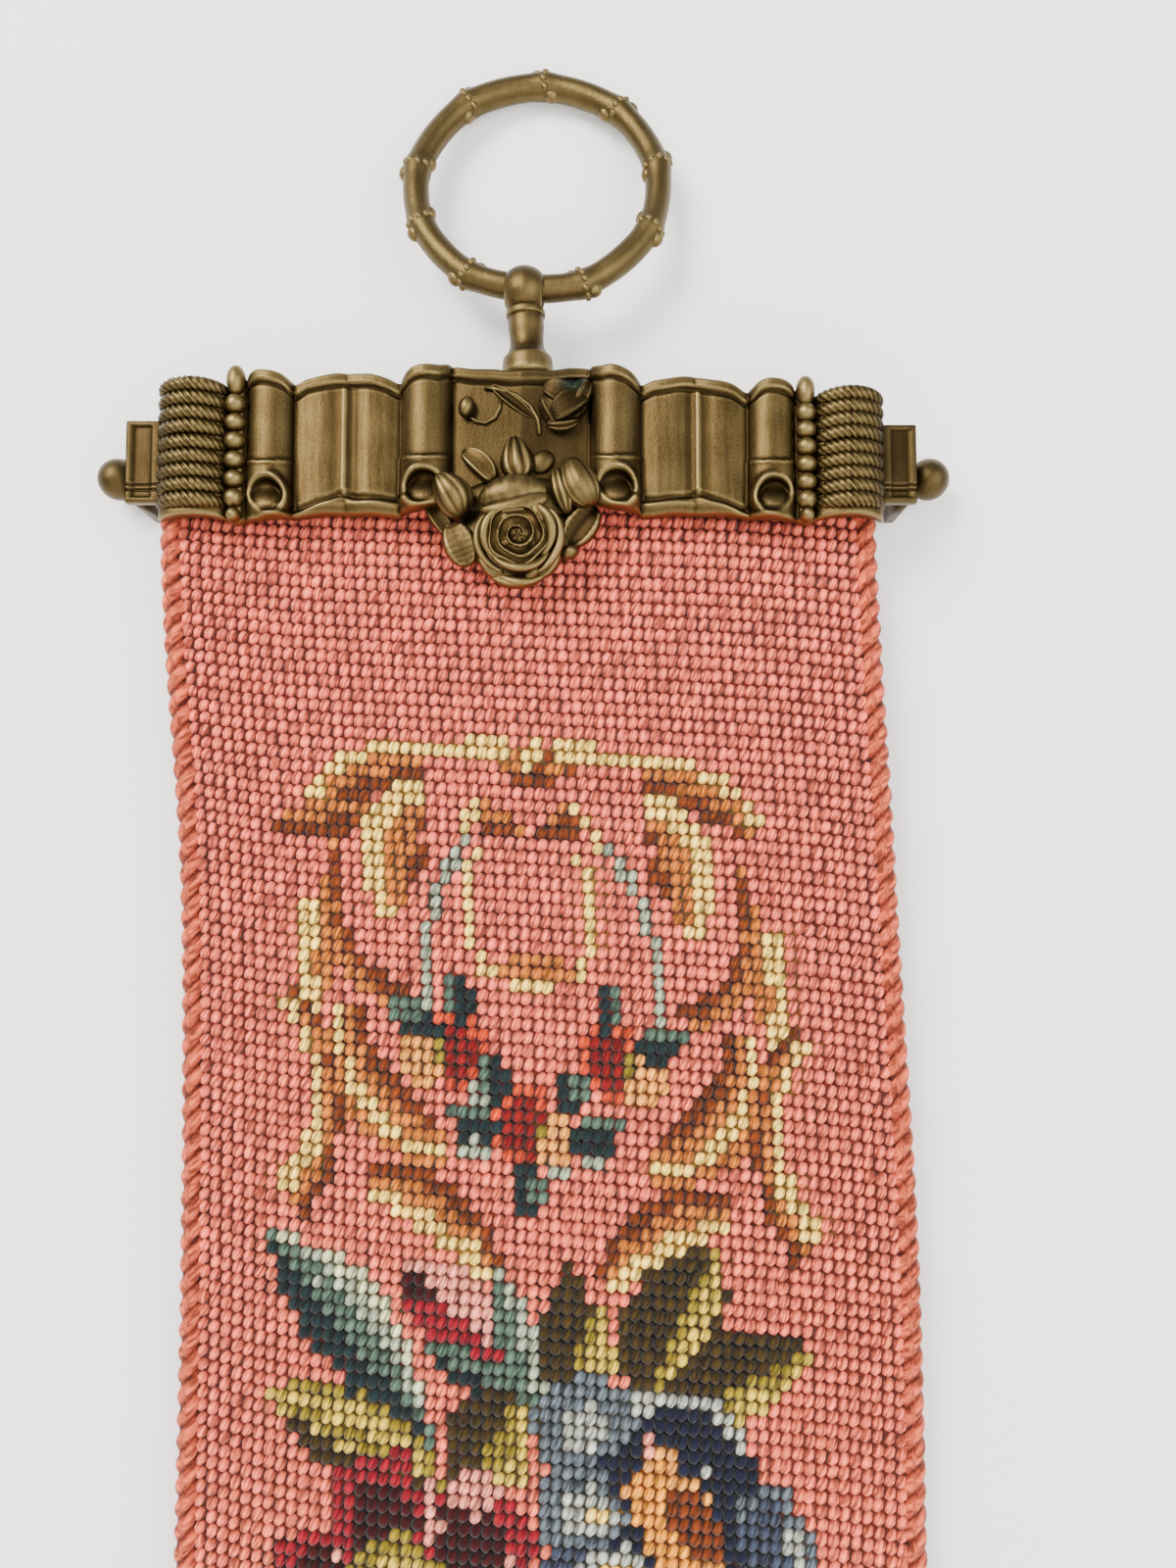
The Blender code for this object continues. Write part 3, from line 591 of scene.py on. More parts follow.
def canvasSheet():
    # the canvas with its yarn-covered back: the cloth's middle line is followed from the hem, round the
    # bottom fold, up the front, over the rod and down the sleeve, and thickened to both sides of it
    thick = hang["thickness"] * mm
    apart = thick + 0.5 * mm  # from the front to what is folded behind it
    foldZ = panelLow.z + apart / 2 + thick / 2
    half = np.linspace(0, np.pi, 13)
    share = np.linspace(0, 1, 14)[1:]
    back = rodY + loopRadius
    hem = [np.full(6, frontY + apart), np.linspace(foldZ + hang["hem"] * mm, foldZ, 6, endpoint=False)]
    fold = [frontY + apart / 2 + apart / 2 * np.cos(half), foldZ - apart / 2 * np.sin(half)]
    front = [np.full(300, frontY), np.linspace(foldZ, rodZ, 302)[1:-1]]
    over = [rodY - loopRadius * np.cos(half), rodZ + loopRadius * np.sin(half)]
    sleeve = [back + (frontY + apart - back) * ease(share, 0, 1), rodZ - hang["sleeve"] * mm * share]
    path = np.concatenate([hem, fold, front, over, sleeve], axis=1).T
    along = unit(np.gradient(path, axis=0))
    out = np.stack([-along[:, 1], along[:, 0]], -1)
    u = np.linspace(-1, 1, 27)
    sides = []
    for offset in (stitch["sunk"], -thick / 2 + 0.05 * mm):
        line = path + out * offset
        surface = clothPoint((1 - 0.1 * mm / clothHalf) * u[None, :], path[:, 1:2])
        surface[..., 1] += (line[:, 0] - frontY)[:, None]
        surface[..., 2] = line[:, 1:2]
        sides.append(surface)
    # its face between the stitches is painted dark as shade, and is fuzzy where sleeve and hem turn to the
    # back
    z = path[:, 1:2]
    row = np.clip(((stitch["firstRow"] - z - rowFall(u[None], z)) / stitch["pitch"]).astype(int), 0, rows - 1)
    col = np.clip(((u + 1) / 2 * stitch["columns"]).astype(int), 0, stitch["columns"] - 1)
    colour = yarnTable[chart[row, col[None]]]
    place = np.arange(len(path))
    stitched = (place >= len(hem[0]) + 6) & (place < len(path) - len(share) - 4)
    fuzzy = 0.7 * colour + 0.3 * linear(stitch["fuzz"])
    face = np.where(stitched[:, None, None], 0.16 * colour**1.25, fuzzy)
    both = np.concatenate([face, fuzzy[:, ::-1]], axis=1).reshape(-1, 3)
    across = np.concatenate([u, u[::-1]])
    made = piece(
        "canvas_sheet", closed(np.concatenate([sides[0], sides[1][:, ::-1]], axis=1)), backWool,
        "needlepoint_panel",
        colours=np.vstack([both, np.tile(0.8 * yarnTable[0], (2, 1))]),
        extra={
            "lane": capped(np.tile(across * stitch["columns"] / 2, len(path))),
            "run": capped(np.repeat(1.0 * place, len(across))),
        },
    )
    return made, float(np.linalg.norm(np.diff(path, axis=0), axis=1).sum())


yarnTable = np.array([linear(palette[name]) for name in names])
stitchWool = woolYarn("crewel wool, tent stitched")
backWool = woolYarn("crewel wool, the back of the stitching", 0.9, (0.6, 1.25))
stitches = list(stitchPieces())
canvas, cutLength = canvasSheet()
print("stitches worked:", sum(len(s.data.polygons) for s in stitches), "faces")


# edge cords
cord = {
    "radius": 2.6 * mm, "out": 1.7 * mm, "lead": 9.7 * mm, "strands": 2, "sections": 10, "around": 16,
    "wander": 0.008 * mm, "colour": "#B24C31",
}


def edgeCord(name, side):
    # a two-strand cord: its radius swells with the cosine round each strand, and the strands climb to the
    # right as they go up the front
    low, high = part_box(name)
    z = np.linspace(high.z, low.z, int((high.z - low.z) / cord["lead"] * cord["sections"]))
    centre = clothPoint(np.full(len(z), float(side)), z)
    centre[:, 0] += side * cord["out"]
    centre += np.cumsum(chance.normal(0, cord["wander"], centre.shape), axis=0) * np.array([1, 0.5, 0])
    across = np.cross(unit(np.gradient(centre, axis=0)), [0, 1.0, 0])
    across = unit(across * np.sign(across[:, :1]))
    turn = np.linspace(0, tau, cord["around"], endpoint=False)[None] + 0 * z[:, None]
    phase = turn - tau * (z / cord["lead"])[:, None]
    swell = np.abs(np.cos(cord["strands"] / 2 * phase))
    radius = cord["radius"] * (0.62 + 0.40 * swell) * (1 + 0.03 * np.sin(z / (31 * mm)))[:, None]
    points = centre[:, None] + radius[..., None] * (
        across[:, None] * np.sin(turn)[..., None] + np.array([0, -1.0, 0]) * np.cos(turn)[..., None]
    )
    # painted shade: dark and red in the grooves between the strands, and a little lighter on their tops as
    # painted highlight
    lit = (0.1 + 1.08 * ease(swell, 0.05, 0.8))[..., None] ** np.array([1.0, 1.25, 1.34])
    lit = np.vstack([lit.reshape(-1, 3), np.full((2, 3), 0.6)])
    return piece(
        name + "_twist", closed(points), cordWool, name,
        colours=np.clip(lit * linear(cord["colour"]), 0, 1),
        extra={
            "lane": capped(phase * cord["strands"] / np.pi),
            "run": capped(turn * 1.4 + (z / (2.2 * mm))[:, None]),
        },
    )


cordWool = woolYarn("crewel wool, twisted cord", 0.8)
cords = [edgeCord("left_edge_cord", -1), edgeCord("right_edge_cord", 1)]
print("cords twisted")


# antique brass
def castBrass(name, settings):
    # sand-cast brass left to darken: brown in the hollows, deeper there as painted shade, rubbed to dull gold
    # on what stands proud, with fine casting grain, drawn streaks and some green crust
    made, tree, shader = newMaterial(name, {"Metallic": 1.0, "Roughness": settings["roughness"]})
    place = node(tree, "ShaderNodeTexCoord").outputs["Object"]
    drawn = node(tree, "ShaderNodeMapping", {"Scale": (1.0, 1.0, 0.1)}, {"Vector": place}).outputs[0]
    grain, cloud, streaks = (
        node(
            tree, "ShaderNodeTexNoise", {"Scale": 1 / settings[size], "Detail": detail, "Roughness": rough},
            {"Vector": source},
        ).outputs["Fac"]
        for size, detail, rough, source in (
            ("grain", 4.0, 0.6, place), ("cloud", 3.0, 0.5, place), ("streak", 3.0, 0.5, drawn),
        )
    )
    # what is rubbed bright: the edges, and a little of each unevenness; the same term keeps concave creases
    # darker, as painted shade
    pointed = node(tree, "ShaderNodeNewGeometry").outputs["Pointiness"]
    edge = node(tree, "ShaderNodeMapRange", {"From Min": 0.47, "From Max": 0.56}, {"Value": pointed})
    wearAndShade = cloud
    for layer in (streaks, grain):
        links = {0: layer, 2: wearAndShade}
        wearAndShade = node(tree, "ShaderNodeMath", {"operation": "MULTIPLY_ADD", 1: 0.7}, links).outputs[0]
    links = {0: wearAndShade, 2: edge.outputs[0]}
    wearAndShade = node(tree, "ShaderNodeMath", {"operation": "MULTIPLY_ADD", 1: 0.3}, links).outputs[0]
    bright = node(tree, "ShaderNodeMapRange", {"From Min": 0.18, "From Max": 1.3}, {"Value": wearAndShade})
    metal = node(tree, "ShaderNodeValToRGB", links={0: bright.outputs[0]})
    stops = metal.color_ramp.elements
    stops.new(0.5)
    for stop, (at, colour) in zip(stops, settings["colours"]):
        stop.position = at
        stop.color = rgba(colour)
    # the crust lies where the cloud is thick and the green is kept
    sootAndShade, green = (
        node(tree, "ShaderNodeAttribute", {"attribute_name": key}).outputs["Fac"] for key in ("sootAndShade", "green")
    )
    thick = {"operation": "MULTIPLY_ADD", 1: 1.6, 2: -1.1}
    crust = node(tree, "ShaderNodeMath", thick, {0: cloud}).outputs[0]
    for operation in ("ADD", "MULTIPLY"):
        clamped = {"operation": operation, "use_clamp": True}
        crust = node(tree, "ShaderNodeMath", clamped, {0: crust, 1: green}).outputs[0]
    colour = metal.outputs[0]
    # the soot value mixes in the soot colour: the brass's old brown together with painted shade in grooves,
    # scroll mouths and near the plate
    for cover, tint in ((sootAndShade, settings["sootAndShade"]), (crust, settings["green"])):
        mix = node(tree, "ShaderNodeMix", {"data_type": "RGBA", 7: rgba(tint)}, {0: cover, 6: colour})
        colour = mix.outputs[2]
    relief = {"Strength": settings["bump"], "Distance": 0.2 * mm}
    bump = node(tree, "ShaderNodeBump", relief, {"Height": grain})
    tree.links.new(colour, shader.inputs["Base Color"])
    tree.links.new(bump.outputs[0], shader.inputs["Normal"])
    return made


castSettings = {
    "roughness": 0.42, "grain": 0.5 * mm, "streak": 0.9 * mm, "cloud": 7 * mm, "bump": 0.5,
    "colours": ((0.0, "#1C140A"), (0.42, "#3E311B"), (1.0, "#7C6B44")), "sootAndShade": "#1A130A", "green": "#1A3029",
}
cast = castBrass("sand-cast brass, antiqued", castSettings)


# the cast header
header = {  # in mm: its middle and face, how thick and hollow it is, and how far out its parts lie
    "x": -2.0, "z": -94.0, "front": -14.8, "wall": 2.3, "hollow": 0.7, "rimWidth": 2.9, "rimRise": 1.1,
    "foldAt": 40.4, "beadsAt": 64.75, "ropesAt": 74.75, "tabAt": 82.6, "flangeAt": 88.25,
}
sections = (  # outward from the middle in mm: end, bulge, and lower edge at start, middle and end
    (15.8, 1.2, (-11.6, -12.0, -12.4)), (27.4, 5.4, (-12.4, -14.4, -15.0)),
    (39.8, 1.0, (-15.4, -15.2, -14.8)), (52.0, 1.0, (-14.8, -15.2, -15.6)),
    (62.6, 4.0, (-15.8, -16.6, -16.4)), (66.8, 2.2, (-16.4, -17.4, -16.4)),
    (82.6, 4.2, (-16.4, -15.8, -16.4)), (90.6, 0.0, (-12.0, -12.0, -12.0)),
)
upperEdge = (  # out from the middle, and height above the header's level, in mm
    (0, 18.6), (7, 18.9), (12, 19.4), (15.6, 19.5), (18, 18.5), (21, 18.4), (25.2, 17.3), (27.4, 15.9),
    (30.5, 16.8), (35, 17.8), (39.8, 18.2), (44.5, 17.6), (49, 16.6), (52, 15.4), (54.4, 16.9), (57.8, 17.6),
    (61.4, 17.2), (62.8, 16.4), (64.8, 17.2), (66.8, 15.0), (70.5, 15.6), (74.7, 15.9), (79, 15.5),
    (82.2, 13.8), (82.9, 7.2), (90.6, 7.2),
)
rolls = (  # open scroll ends: where each lies, its mouth's middle and half sizes, flare and band height
    ((16.0, 27.6), 21.8, -9.8, 4.3, 4.2, 1, -3.2), ((51.6, 62.6), 57.4, -11.2, 4.2, 4.1, -1, -3.8),
)


def plateLine(a):
    # at a mm out from the middle: the section, the plate's bulge, and its upper and lower edge
    ends = np.array([row[0] for row in sections])
    starts = np.append(0, ends[:-1])
    i = np.clip(np.searchsorted(ends, a), 0, len(sections) - 1)
    share = (a - starts[i]) / (ends - starts)[i]
    deep = np.array([row[1] for row in sections])[i]
    pleat = np.where((i == 2) | (i == 3), 4 * share * (1 - share), ridge(2 * share - 1, 1.0))
    bulge = deep * np.where(i == 0, 1 - share, pleat)
    low = np.array([row[2] for row in sections])[i]
    places, heights = np.array(upperEdge).T
    top = np.where(a < 80, eased(a * mm, places, heights) / mm, np.interp(a, places, heights))
    return i, bulge, top, parabola(share, *low.T)


def plateRelief(z, a, i, top, low):
    # how far the plate's face stands out, in mm: rims, panel folds, scroll bands and their open mouths
    rimWidth, foldAt = header["rimWidth"], header["foldAt"]
    below, above = top - z, z - low
    rim = (1 - ease(below, rimWidth - 0.25, rimWidth + 0.15)) * ease(below, -0.5, 0.9)
    out = header["rimRise"] * np.where(i < 5, rim - 0.35 * ridge(below - rimWidth - 0.35, 0.4), 0)
    # the lip turned up along the panels' lower edge, with a groove above it
    band = 3.3 - 2.3 * ease(a, foldAt + 0.6, 53.0) + 0.8 * hump(a, foldAt + 0.2, 2.2)
    lip = (1 - ease(above, band - 0.8, band + 0.3)) * (0.5 + 0.7 * ease(above, 0, 2.2))
    lip = lip - 0.25 * ridge(above - band - 0.6, 0.9)
    out = out + 1.5 * lip * ease(a, 24.0, 27.0) * (1 - ease(a, 55.0, 60.0))
    # each panel's fold and its small waves, inside its rims
    inner = (1 - ease(-below, -rimWidth - 0.9, -rimWidth)) * ease(above, band, band + 0.8)
    waves = ((0.75, 0, 0.8), (-0.25, -2.2, 0.9), (0.16, -5.2, 1.6), (-0.12, 2.8, 1.2))
    folds = sum(size * hump(a, foldAt + place, width) for size, place, width in waves)
    folds = folds + 0.012 * np.sin(a * 2.9 + 0.5 * np.sin(z * 0.35))
    out = out + ((i == 2) | (i == 3)) * inner * folds
    for (start, end), middle, height, wide, high, flare, band in rolls:
        edge = band + 0.7 * ((a - middle) / 5) ** 2
        roll = 0.55 * (1 - ease(z, edge - 0.15, edge + 0.15)) + 0.3 * ridge(z - edge, 0.5)
        roll = roll * ease(z, height - high - 1.0, height)
        rise = (z - height) / high
        across = (a - middle + 0.45 * flare * rise) / wide
        share = np.hypot(across, rise)
        cup = 2.4 * (1 - ease(share, 0.72, 1.0)) * (0.15 + 0.85 * ease(rise, -0.7, 0.6))
        rolled = 1.3 * hump(share, 1.1, 0.2) * ease(flare * across - 0.3 * rise, -0.5, 0.6)
        out = out + ((a > start) & (a < end)) * (roll - cup + rolled)
    # the end tabs: a sunk field in a frame, and two lines across
    frameLine = np.minimum(np.minimum(a - 83.4, 90.4 - a), np.minimum(top - z, z - low))
    tabFace = -0.45 * ease(frameLine, 1.1, 1.4) - 0.3 * ridge(z + 9.0, 0.45) - 0.25 * ridge(z + 7.9, 0.35)
    return np.where(i == 7, tabFace, out)


def rightDrop(x):
    # the upper edge sinks to the right of the middle, by 0.0006 · x² in mm
    return 0.0006 * np.clip(x, 0, 80) ** 2


def headerPlate():
    # the cast plate as columns of points, down its face and back up its hollow, with the brown and the
    # painted shade on them
    ends = [0, *(row[0] for row in sections)]
    a = np.concatenate([
        np.linspace(start + 0.06, end - 0.06, max(6, int((end - start) / 0.44)))
        for start, end in zip(ends, ends[1:])
    ])
    x = np.concatenate([-a[::-1], a])
    a = np.abs(x)
    i, bulge, top, low = plateLine(a)
    top = top - np.where(x > header["tabAt"], 0.9, rightDrop(x)) + 0.12 * np.sin(x * 0.7) * (a < 62)
    low = low + 0.15 * np.sin(x * 0.55 + 1) * (a < 62)
    x, a, i, bulge, top, low = (values[:, None] for values in (x, a, i, bulge, top, low))
    z = top + (low - top) * np.linspace(0, 1, 80)
    face = plateRelief(z, a, i, top, low)
    # the face turns over at its edges
    over = sum(0.55 * (1 - ridge(np.clip(1 - inside / 0.7, 0, 1), 1.0)) for inside in (top - z, z - low))
    front = header["front"] - bulge - face + over
    backZ = top + (low - top) * np.array([1, 0.66, 0.33, 0])
    back = header["front"] + header["wall"] - header["hollow"] * bulge + 0 * backZ
    depth = np.concatenate([front, back], axis=1)
    height = header["z"] + np.concatenate([z, backZ], axis=1)
    points = np.stack([header["x"] + x + 0 * depth, depth, height], axis=-1)
    # brown patina and painted shade lie in each groove and scroll mouth, darker the deeper it is; the middle
    # section and the end tabs are darkened too
    dull = 0.55 * (a > 83) + 0.5 * (1 - ease(a, 11, 16))
    sootAndShade = np.maximum(np.clip(-face / 2.6, 0, 0.6), dull)
    return closed(points * mm), capped(np.concatenate([sootAndShade, 0.5 + 0 * backZ], axis=1))


def patinaAndShade(shape):
    # brown patina and painted shade close to the plate, where each part meets it; dark brown on the rosebud,
    # darker towards the ropes' outer ends, and the green on the rosebud and at those ends
    x = shape[0][:, 0] / mm - header["x"]
    out = header["front"] - shape[0][:, 1] / mm
    z = shape[0][:, 2] / mm - header["z"]
    a = np.abs(x)
    green = 1.1 * hump(x, 12.0, 4.6) * hump(z, 14.6, 3.0) + 0.5 * hump(a, 82.0, 1.6)
    bud = 0.85 * hump(((x - 10.0) / 7.0) ** 2 + ((z - 10.2) / 6.4) ** 2, 0, 1)
    ends = 0.26 * (a > 67) + 0.34 * ease(a, 76, 83)
    return {"sootAndShade": np.maximum.reduce([0.8 * (1 - ease(out, 0.2, 3.6)), bud, ends]), "green": green}


def block(low, high):
    # a plain box as three rings of four corners
    (x0, y0, z0), (x1, y1, z1) = low, high
    corners = ((y0, z0), (y1, z0), (y1, z1), (y0, z1))
    return closed(np.array([[(x, y, z) for y, z in corners] for x in np.linspace(x0, x1, 3)]) * mm)


def tube(path, radius, around, lobes=0, lobeDepth=0.0, lead=1.0):
    # a round tube along a path in mm, its section swelling lobes times round and turning once in lead mm
    path = np.asarray(path, float)
    along = unit(np.gradient(path, axis=0))
    side = unit(np.cross(along, (0, -1.0, 0)))
    other = np.cross(side, along)
    run = np.append(0, np.cumsum(np.linalg.norm(np.diff(path, axis=0), axis=1)))[:, None]
    phi = np.linspace(0, tau, around, endpoint=False)[None]
    swell = np.abs(np.cos(lobes / 2 * (phi - tau * run / lead)))
    lobeDepth = np.reshape(lobeDepth, (-1, 1))
    r = (np.reshape(radius, (-1, 1)) * (1 - lobeDepth + lobeDepth * swell))[..., None]
    spoke = side[:, None] * np.cos(phi)[..., None] + other[:, None] * np.sin(phi)[..., None]
    return closed((path[:, None] + r * spoke) * mm)


def headerPoint(x, z, out):
    # from mm out of the header's middle, above its level and in front of its face, to the shared frame in mm
    return np.stack([header["x"] + x, header["front"] - out + 0 * x, header["z"] + z], axis=-1)


def ropes():
    # nine twisted strands bowed round each end block, closer together where the edge sinks on the right
    made = []
    turn = np.radians(np.linspace(-86, 86, 60))
    cos = np.cos(turn)
    for side in (-1, 1):
        for row in range(9):
            sunk = 0.65 * rightDrop(side * header["ropesAt"]) * (1 - row / 8)
            z = 13.2 - 3.26 * row - sunk + 0.55 * cos * (1 if row < 4 else 0.4)
            path = headerPoint(side * (header["ropesAt"] + 7.0 * np.sin(turn)), z, -0.6 + 5.4 * cos)
            made.append(tube(path, 1.9 * (0.72 + 0.28 * cos), 20, 5, 0.34 * cos**0.6, -6.6))
    return made


def ball(place, sizes, rows, around):
    # an ellipsoid in rings from pole to pole
    theta = np.linspace(0.12, np.pi - 0.12, rows)[:, None]
    phi = np.linspace(0, tau, around, endpoint=False)
    ringed = [np.sin(theta) * np.cos(phi), np.sin(theta) * np.sin(phi), np.cos(theta) + 0 * phi]
    return closed((np.stack(ringed, axis=-1) * np.array(sizes) + np.array(place)) * mm)


def beads():
    # eight beads down each border, the top one tall, sinking on the right with the edge
    made = []
    for side in (-1, 1):
        for z, wide, high in (
            (15.4, 2.2, 3.5), (9.9, 2.35, 2.3), (5.6, 2.4, 2.1), (1.3, 2.4, 2.15), (-3.1, 2.4, 2.1),
            (-7.5, 2.35, 2.1), (-11.9, 2.3, 2.2), (-15.8, 1.7, 1.7),
        ):
            sunk = rightDrop(side * header["beadsAt"]) * (z + 16) / 32
            place = headerPoint(side * header["beadsAt"], z - sunk, 2.6)
            made.append(ball(place, (wide, 2.5, high), 11, 18))
    return made


def lobe(
    x, z, stand, long, wide, thick, turn,
    ribs=0, veins=0, ribDepth=0.0, hollow=0.0, lip=0.0, point=0.0, bend=0.0, lift=0.0,
):
    # a cast leaf or petal: a flattened ball, ribbed along or veined across, hollowed in the middle, with a
    # rolled lip, a narrowed tip, a sideways bend and a lifted tip
    s = -np.cos(np.linspace(0.1, np.pi - 0.1, 24))[:, None]
    phi = np.linspace(0, tau, 34, endpoint=False)[None]
    t, up = np.cos(phi), np.sin(phi)
    belly = np.sqrt(1 - s**2)
    across = wide * belly * (1 - point * s) * t + bend * (1 - s**2)
    worked = lip * hump(np.abs(t), 0.8, 0.16) * belly - hollow * belly * hump(t, 0, 0.55)
    if ribs:
        worked = worked + ribDepth * np.cos(ribs * np.pi * t) * belly
    if veins:
        worked = worked + ribDepth * np.cos(veins * np.pi * s + 2.2 * np.abs(t)) * np.abs(t)
    height = thick * belly * np.where(up > 0, up, 0.35 * up) + worked * ease(up, 0.0, 0.5) + lift * s
    cos, sin = np.cos(np.radians(turn)), np.sin(np.radians(turn))
    points = headerPoint(x + long * s * cos - across * sin, z + long * s * sin + across * cos, stand + height)
    return closed(points * mm)


def stalk(points, stand, radius):
    # a thin stem through points across and up the plate
    return tube(headerPoint(*np.array(points).T, stand), radius, 8)


def roseHeart(x, z, stand):
    # a spiral of petal lips round a cup: the face falls away inside each lip and climbs again to the next,
    # while the lip itself runs out anticlockwise
    theta = np.linspace(0, tau, 88, endpoint=False)[None]
    face = np.linspace(0.15, 6.5, 46)[:, None]
    phase = ((face - 2.7) / 2.15 - (theta - np.radians(225)) / tau) % 1
    lips = 1.5 * phase**2.2 * ease(face, 1.2, 2.9) + 0.35 * hump(phase, 0.93, 0.06)
    dome = 0.5 - 0.9 * (face / 6.5) ** 2 - 0.8 * (1 - ease(face, 0.5, 3.2))
    height = dome + lips + 0.12 * np.sin(5 * theta + face)
    # then down its outer wall
    r = np.append(face, [6.75, 6.9, 6.7, 6.2, 5.4])[:, None]
    wall = np.array([-0.9, -1.9, -3.4, -5.2, -7.5])[:, None] + 0 * theta
    reach = r * (1 + 0.05 * np.cos(5 * theta + 0.6) * (r / 6.5) ** 2)
    out = stand + np.concatenate([height, wall], axis=0)
    return closed(headerPoint(x + reach * np.cos(theta), z + reach * np.sin(theta), out) * mm)


def wrappedPetal(x, z, reach, start, end, wide, thick, stand):
    # a petal hugging the heart: a blade along an arc, thin at both ends, whose outer lip stands higher
    share = np.linspace(0.02, 0.98, 26)[:, None]
    theta = np.radians(start + (end - start) * share)
    phi = np.linspace(0, tau, 18, endpoint=False)[None]
    size = np.sin(np.pi * share) ** 0.55
    across = wide * size * np.cos(phi)
    out = stand + thick * size * np.sin(phi) + 0.55 * across + 0.3 * np.sin(3 * theta)
    r = reach + across + 0.25 * np.sin(2.5 * theta)
    return closed(headerPoint(x + r * np.cos(theta), z + r * np.sin(theta), out) * mm)


def rosePieces():
    # the rose, its leaves and buds, each by place across and up the plate, standout, sizes and turn
    return [
        roseHeart(-0.2, -21.4, 6.9),
        # the ground the flowers are cast on, and the petals wrapped round the heart from the inside outwards
        lobe(-0.6, -19.4, -1.0, 15.0, 8.6, 3.6, 0),
        lobe(0.4, -11.4, -0.6, 14.4, 5.6, 3.2, 0),
        *(wrappedPetal(-0.2, -21.4, *row) for row in (
            (6.9, 96, 236, 1.5, 1.6, 5.6), (7.0, 212, 338, 1.5, 1.5, 5.4), (7.0, -42, 84, 1.6, 1.6, 5.8),
            (8.9, -66, 46, 1.5, 1.7, 4.6), (8.7, 136, 246, 1.3, 1.5, 4.2), (9.3, 238, 312, 1.7, 1.4, 2.6),
        )),
        # the hood over the heart: a ribbed outer face and the smooth lip rolled down in front of it
        lobe(-1.4, -11.4, 3.6, 8.0, 3.9, 3.6, 8, veins=11, ribDepth=0.35, bend=0.6),
        lobe(-1.2, -14.0, 5.6, 7.8, 2.2, 2.6, 12, hollow=0.3, bend=-1.0, point=-0.25),
        lobe(4.4, -16.0, 5.8, 3.0, 1.7, 2.0, -60, hollow=0.4),
        lobe(-6.6, -26.6, 2.6, 4.2, 2.6, 2.6, -60, hollow=0.6, lip=0.4),
        lobe(6.2, -26.4, 2.6, 4.4, 2.8, 2.6, 58, hollow=0.6, lip=0.4),
        # the petal turned up beneath
        lobe(-0.4, -28.4, 2.2, 6.8, 3.7, 2.4, 3, hollow=0.9, lip=0.5, bend=-0.6),
        lobe(2.9, -29.4, 4.0, 2.0, 1.3, 1.5, 35),
        # leaves and half-open buds round it, the left ones first
        lobe(-15.6, -11.8, 4.4, 5.4, 4.2, 3.8, -58, ribs=4, ribDepth=0.36, bend=0.6, lift=-0.6, point=-0.2),
        lobe(-13.6, -22.4, 1.8, 5.4, 3.9, 2.8, -68, veins=9, ribDepth=0.3, hollow=0.8, lip=0.5),
        lobe(-18.6, -15.8, 0.8, 5.4, 2.2, 1.6, -58, hollow=0.6, lip=0.4),
        lobe(-9.6, -4.2, 1.8, 5.0, 2.7, 2.7, -44, hollow=0.9, lip=0.6, bend=0.7),
        lobe(-0.9, -2.4, 1.8, 5.4, 3.8, 3.0, -82, ribs=3, ribDepth=0.4, point=-0.3, lift=0.8),
        lobe(4.8, -3.0, 0.7, 3.2, 2.6, 1.4, 40),
        lobe(13.6, -8.4, 3.2, 6.2, 4.4, 4.4, -64, ribs=5, ribDepth=0.34, bend=-0.5, lift=0.3, point=-0.2),
        lobe(9.4, -10.4, 3.0, 5.4, 2.6, 3.4, -76, ribs=3, ribDepth=0.3),
        lobe(13.8, -17.8, 0.9, 5.6, 3.9, 2.0, 55, hollow=1.5, lip=0.8, veins=7, ribDepth=0.15),
        lobe(11.2, -24.2, 2.0, 2.1, 1.7, 2.2, 20),
        # the little bud on its looping stem, the ribbon leaf and the rosebud's crumpled petals
        lobe(-12.4, 9.6, 1.6, 2.5, 1.8, 2.2, 74),
        stalk(((-11.8, 7.6), (-10.4, 6.6), (-8.2, 6.2), (-6.0, 7.4), (-4.9, 9.6), (-4.6, 12.0)), 1.0, 0.5),
        lobe(-2.0, 11.2, 0.9, 6.2, 1.5, 1.2, -38, hollow=0.7, lip=0.4),
        stalk(((-8.4, 14.4), (-5.0, 13.9), (-1.0, 12.6), (2.2, 10.0), (3.9, 7.0), (4.2, 3.4)), 1.1, 0.55),
        lobe(9.8, 10.6, 1.2, 6.0, 5.2, 3.0, 24, veins=5, ribDepth=0.3),
        lobe(11.2, 9.2, 3.0, 4.8, 3.2, 2.4, 34, hollow=0.5, lip=0.5, bend=0.8),
        lobe(9.0, 12.4, 2.8, 4.2, 2.9, 2.3, -24, hollow=0.5, lip=0.5),
        lobe(13.4, 12.0, 2.6, 4.0, 2.5, 2.0, 62, ribs=2, ribDepth=0.3),
        lobe(6.6, 8.4, 2.2, 4.0, 1.4, 1.7, 118, hollow=0.4),
        lobe(9.6, 5.8, 2.2, 3.8, 1.5, 1.6, 8, ribs=2, ribDepth=0.3, bend=-0.6),
    ]


plateShape, plateSootAndShade = headerPlate()
platePatinaAndShade = {"sootAndShade": plateSootAndShade, "green": patinaAndShade(plateShape)["green"]}
piece("header_plate", plateShape, cast, "header_casting", extra=platePatinaAndShade)


def fitting(x, halfWide, low, high, back):
    # a plain block behind the plate, from one height to another and back to a depth
    middle, front = header["x"] + x, header["front"] + 1.2
    return block((middle - halfWide, front, header["z"] + low), (middle + halfWide, back, header["z"] + high))


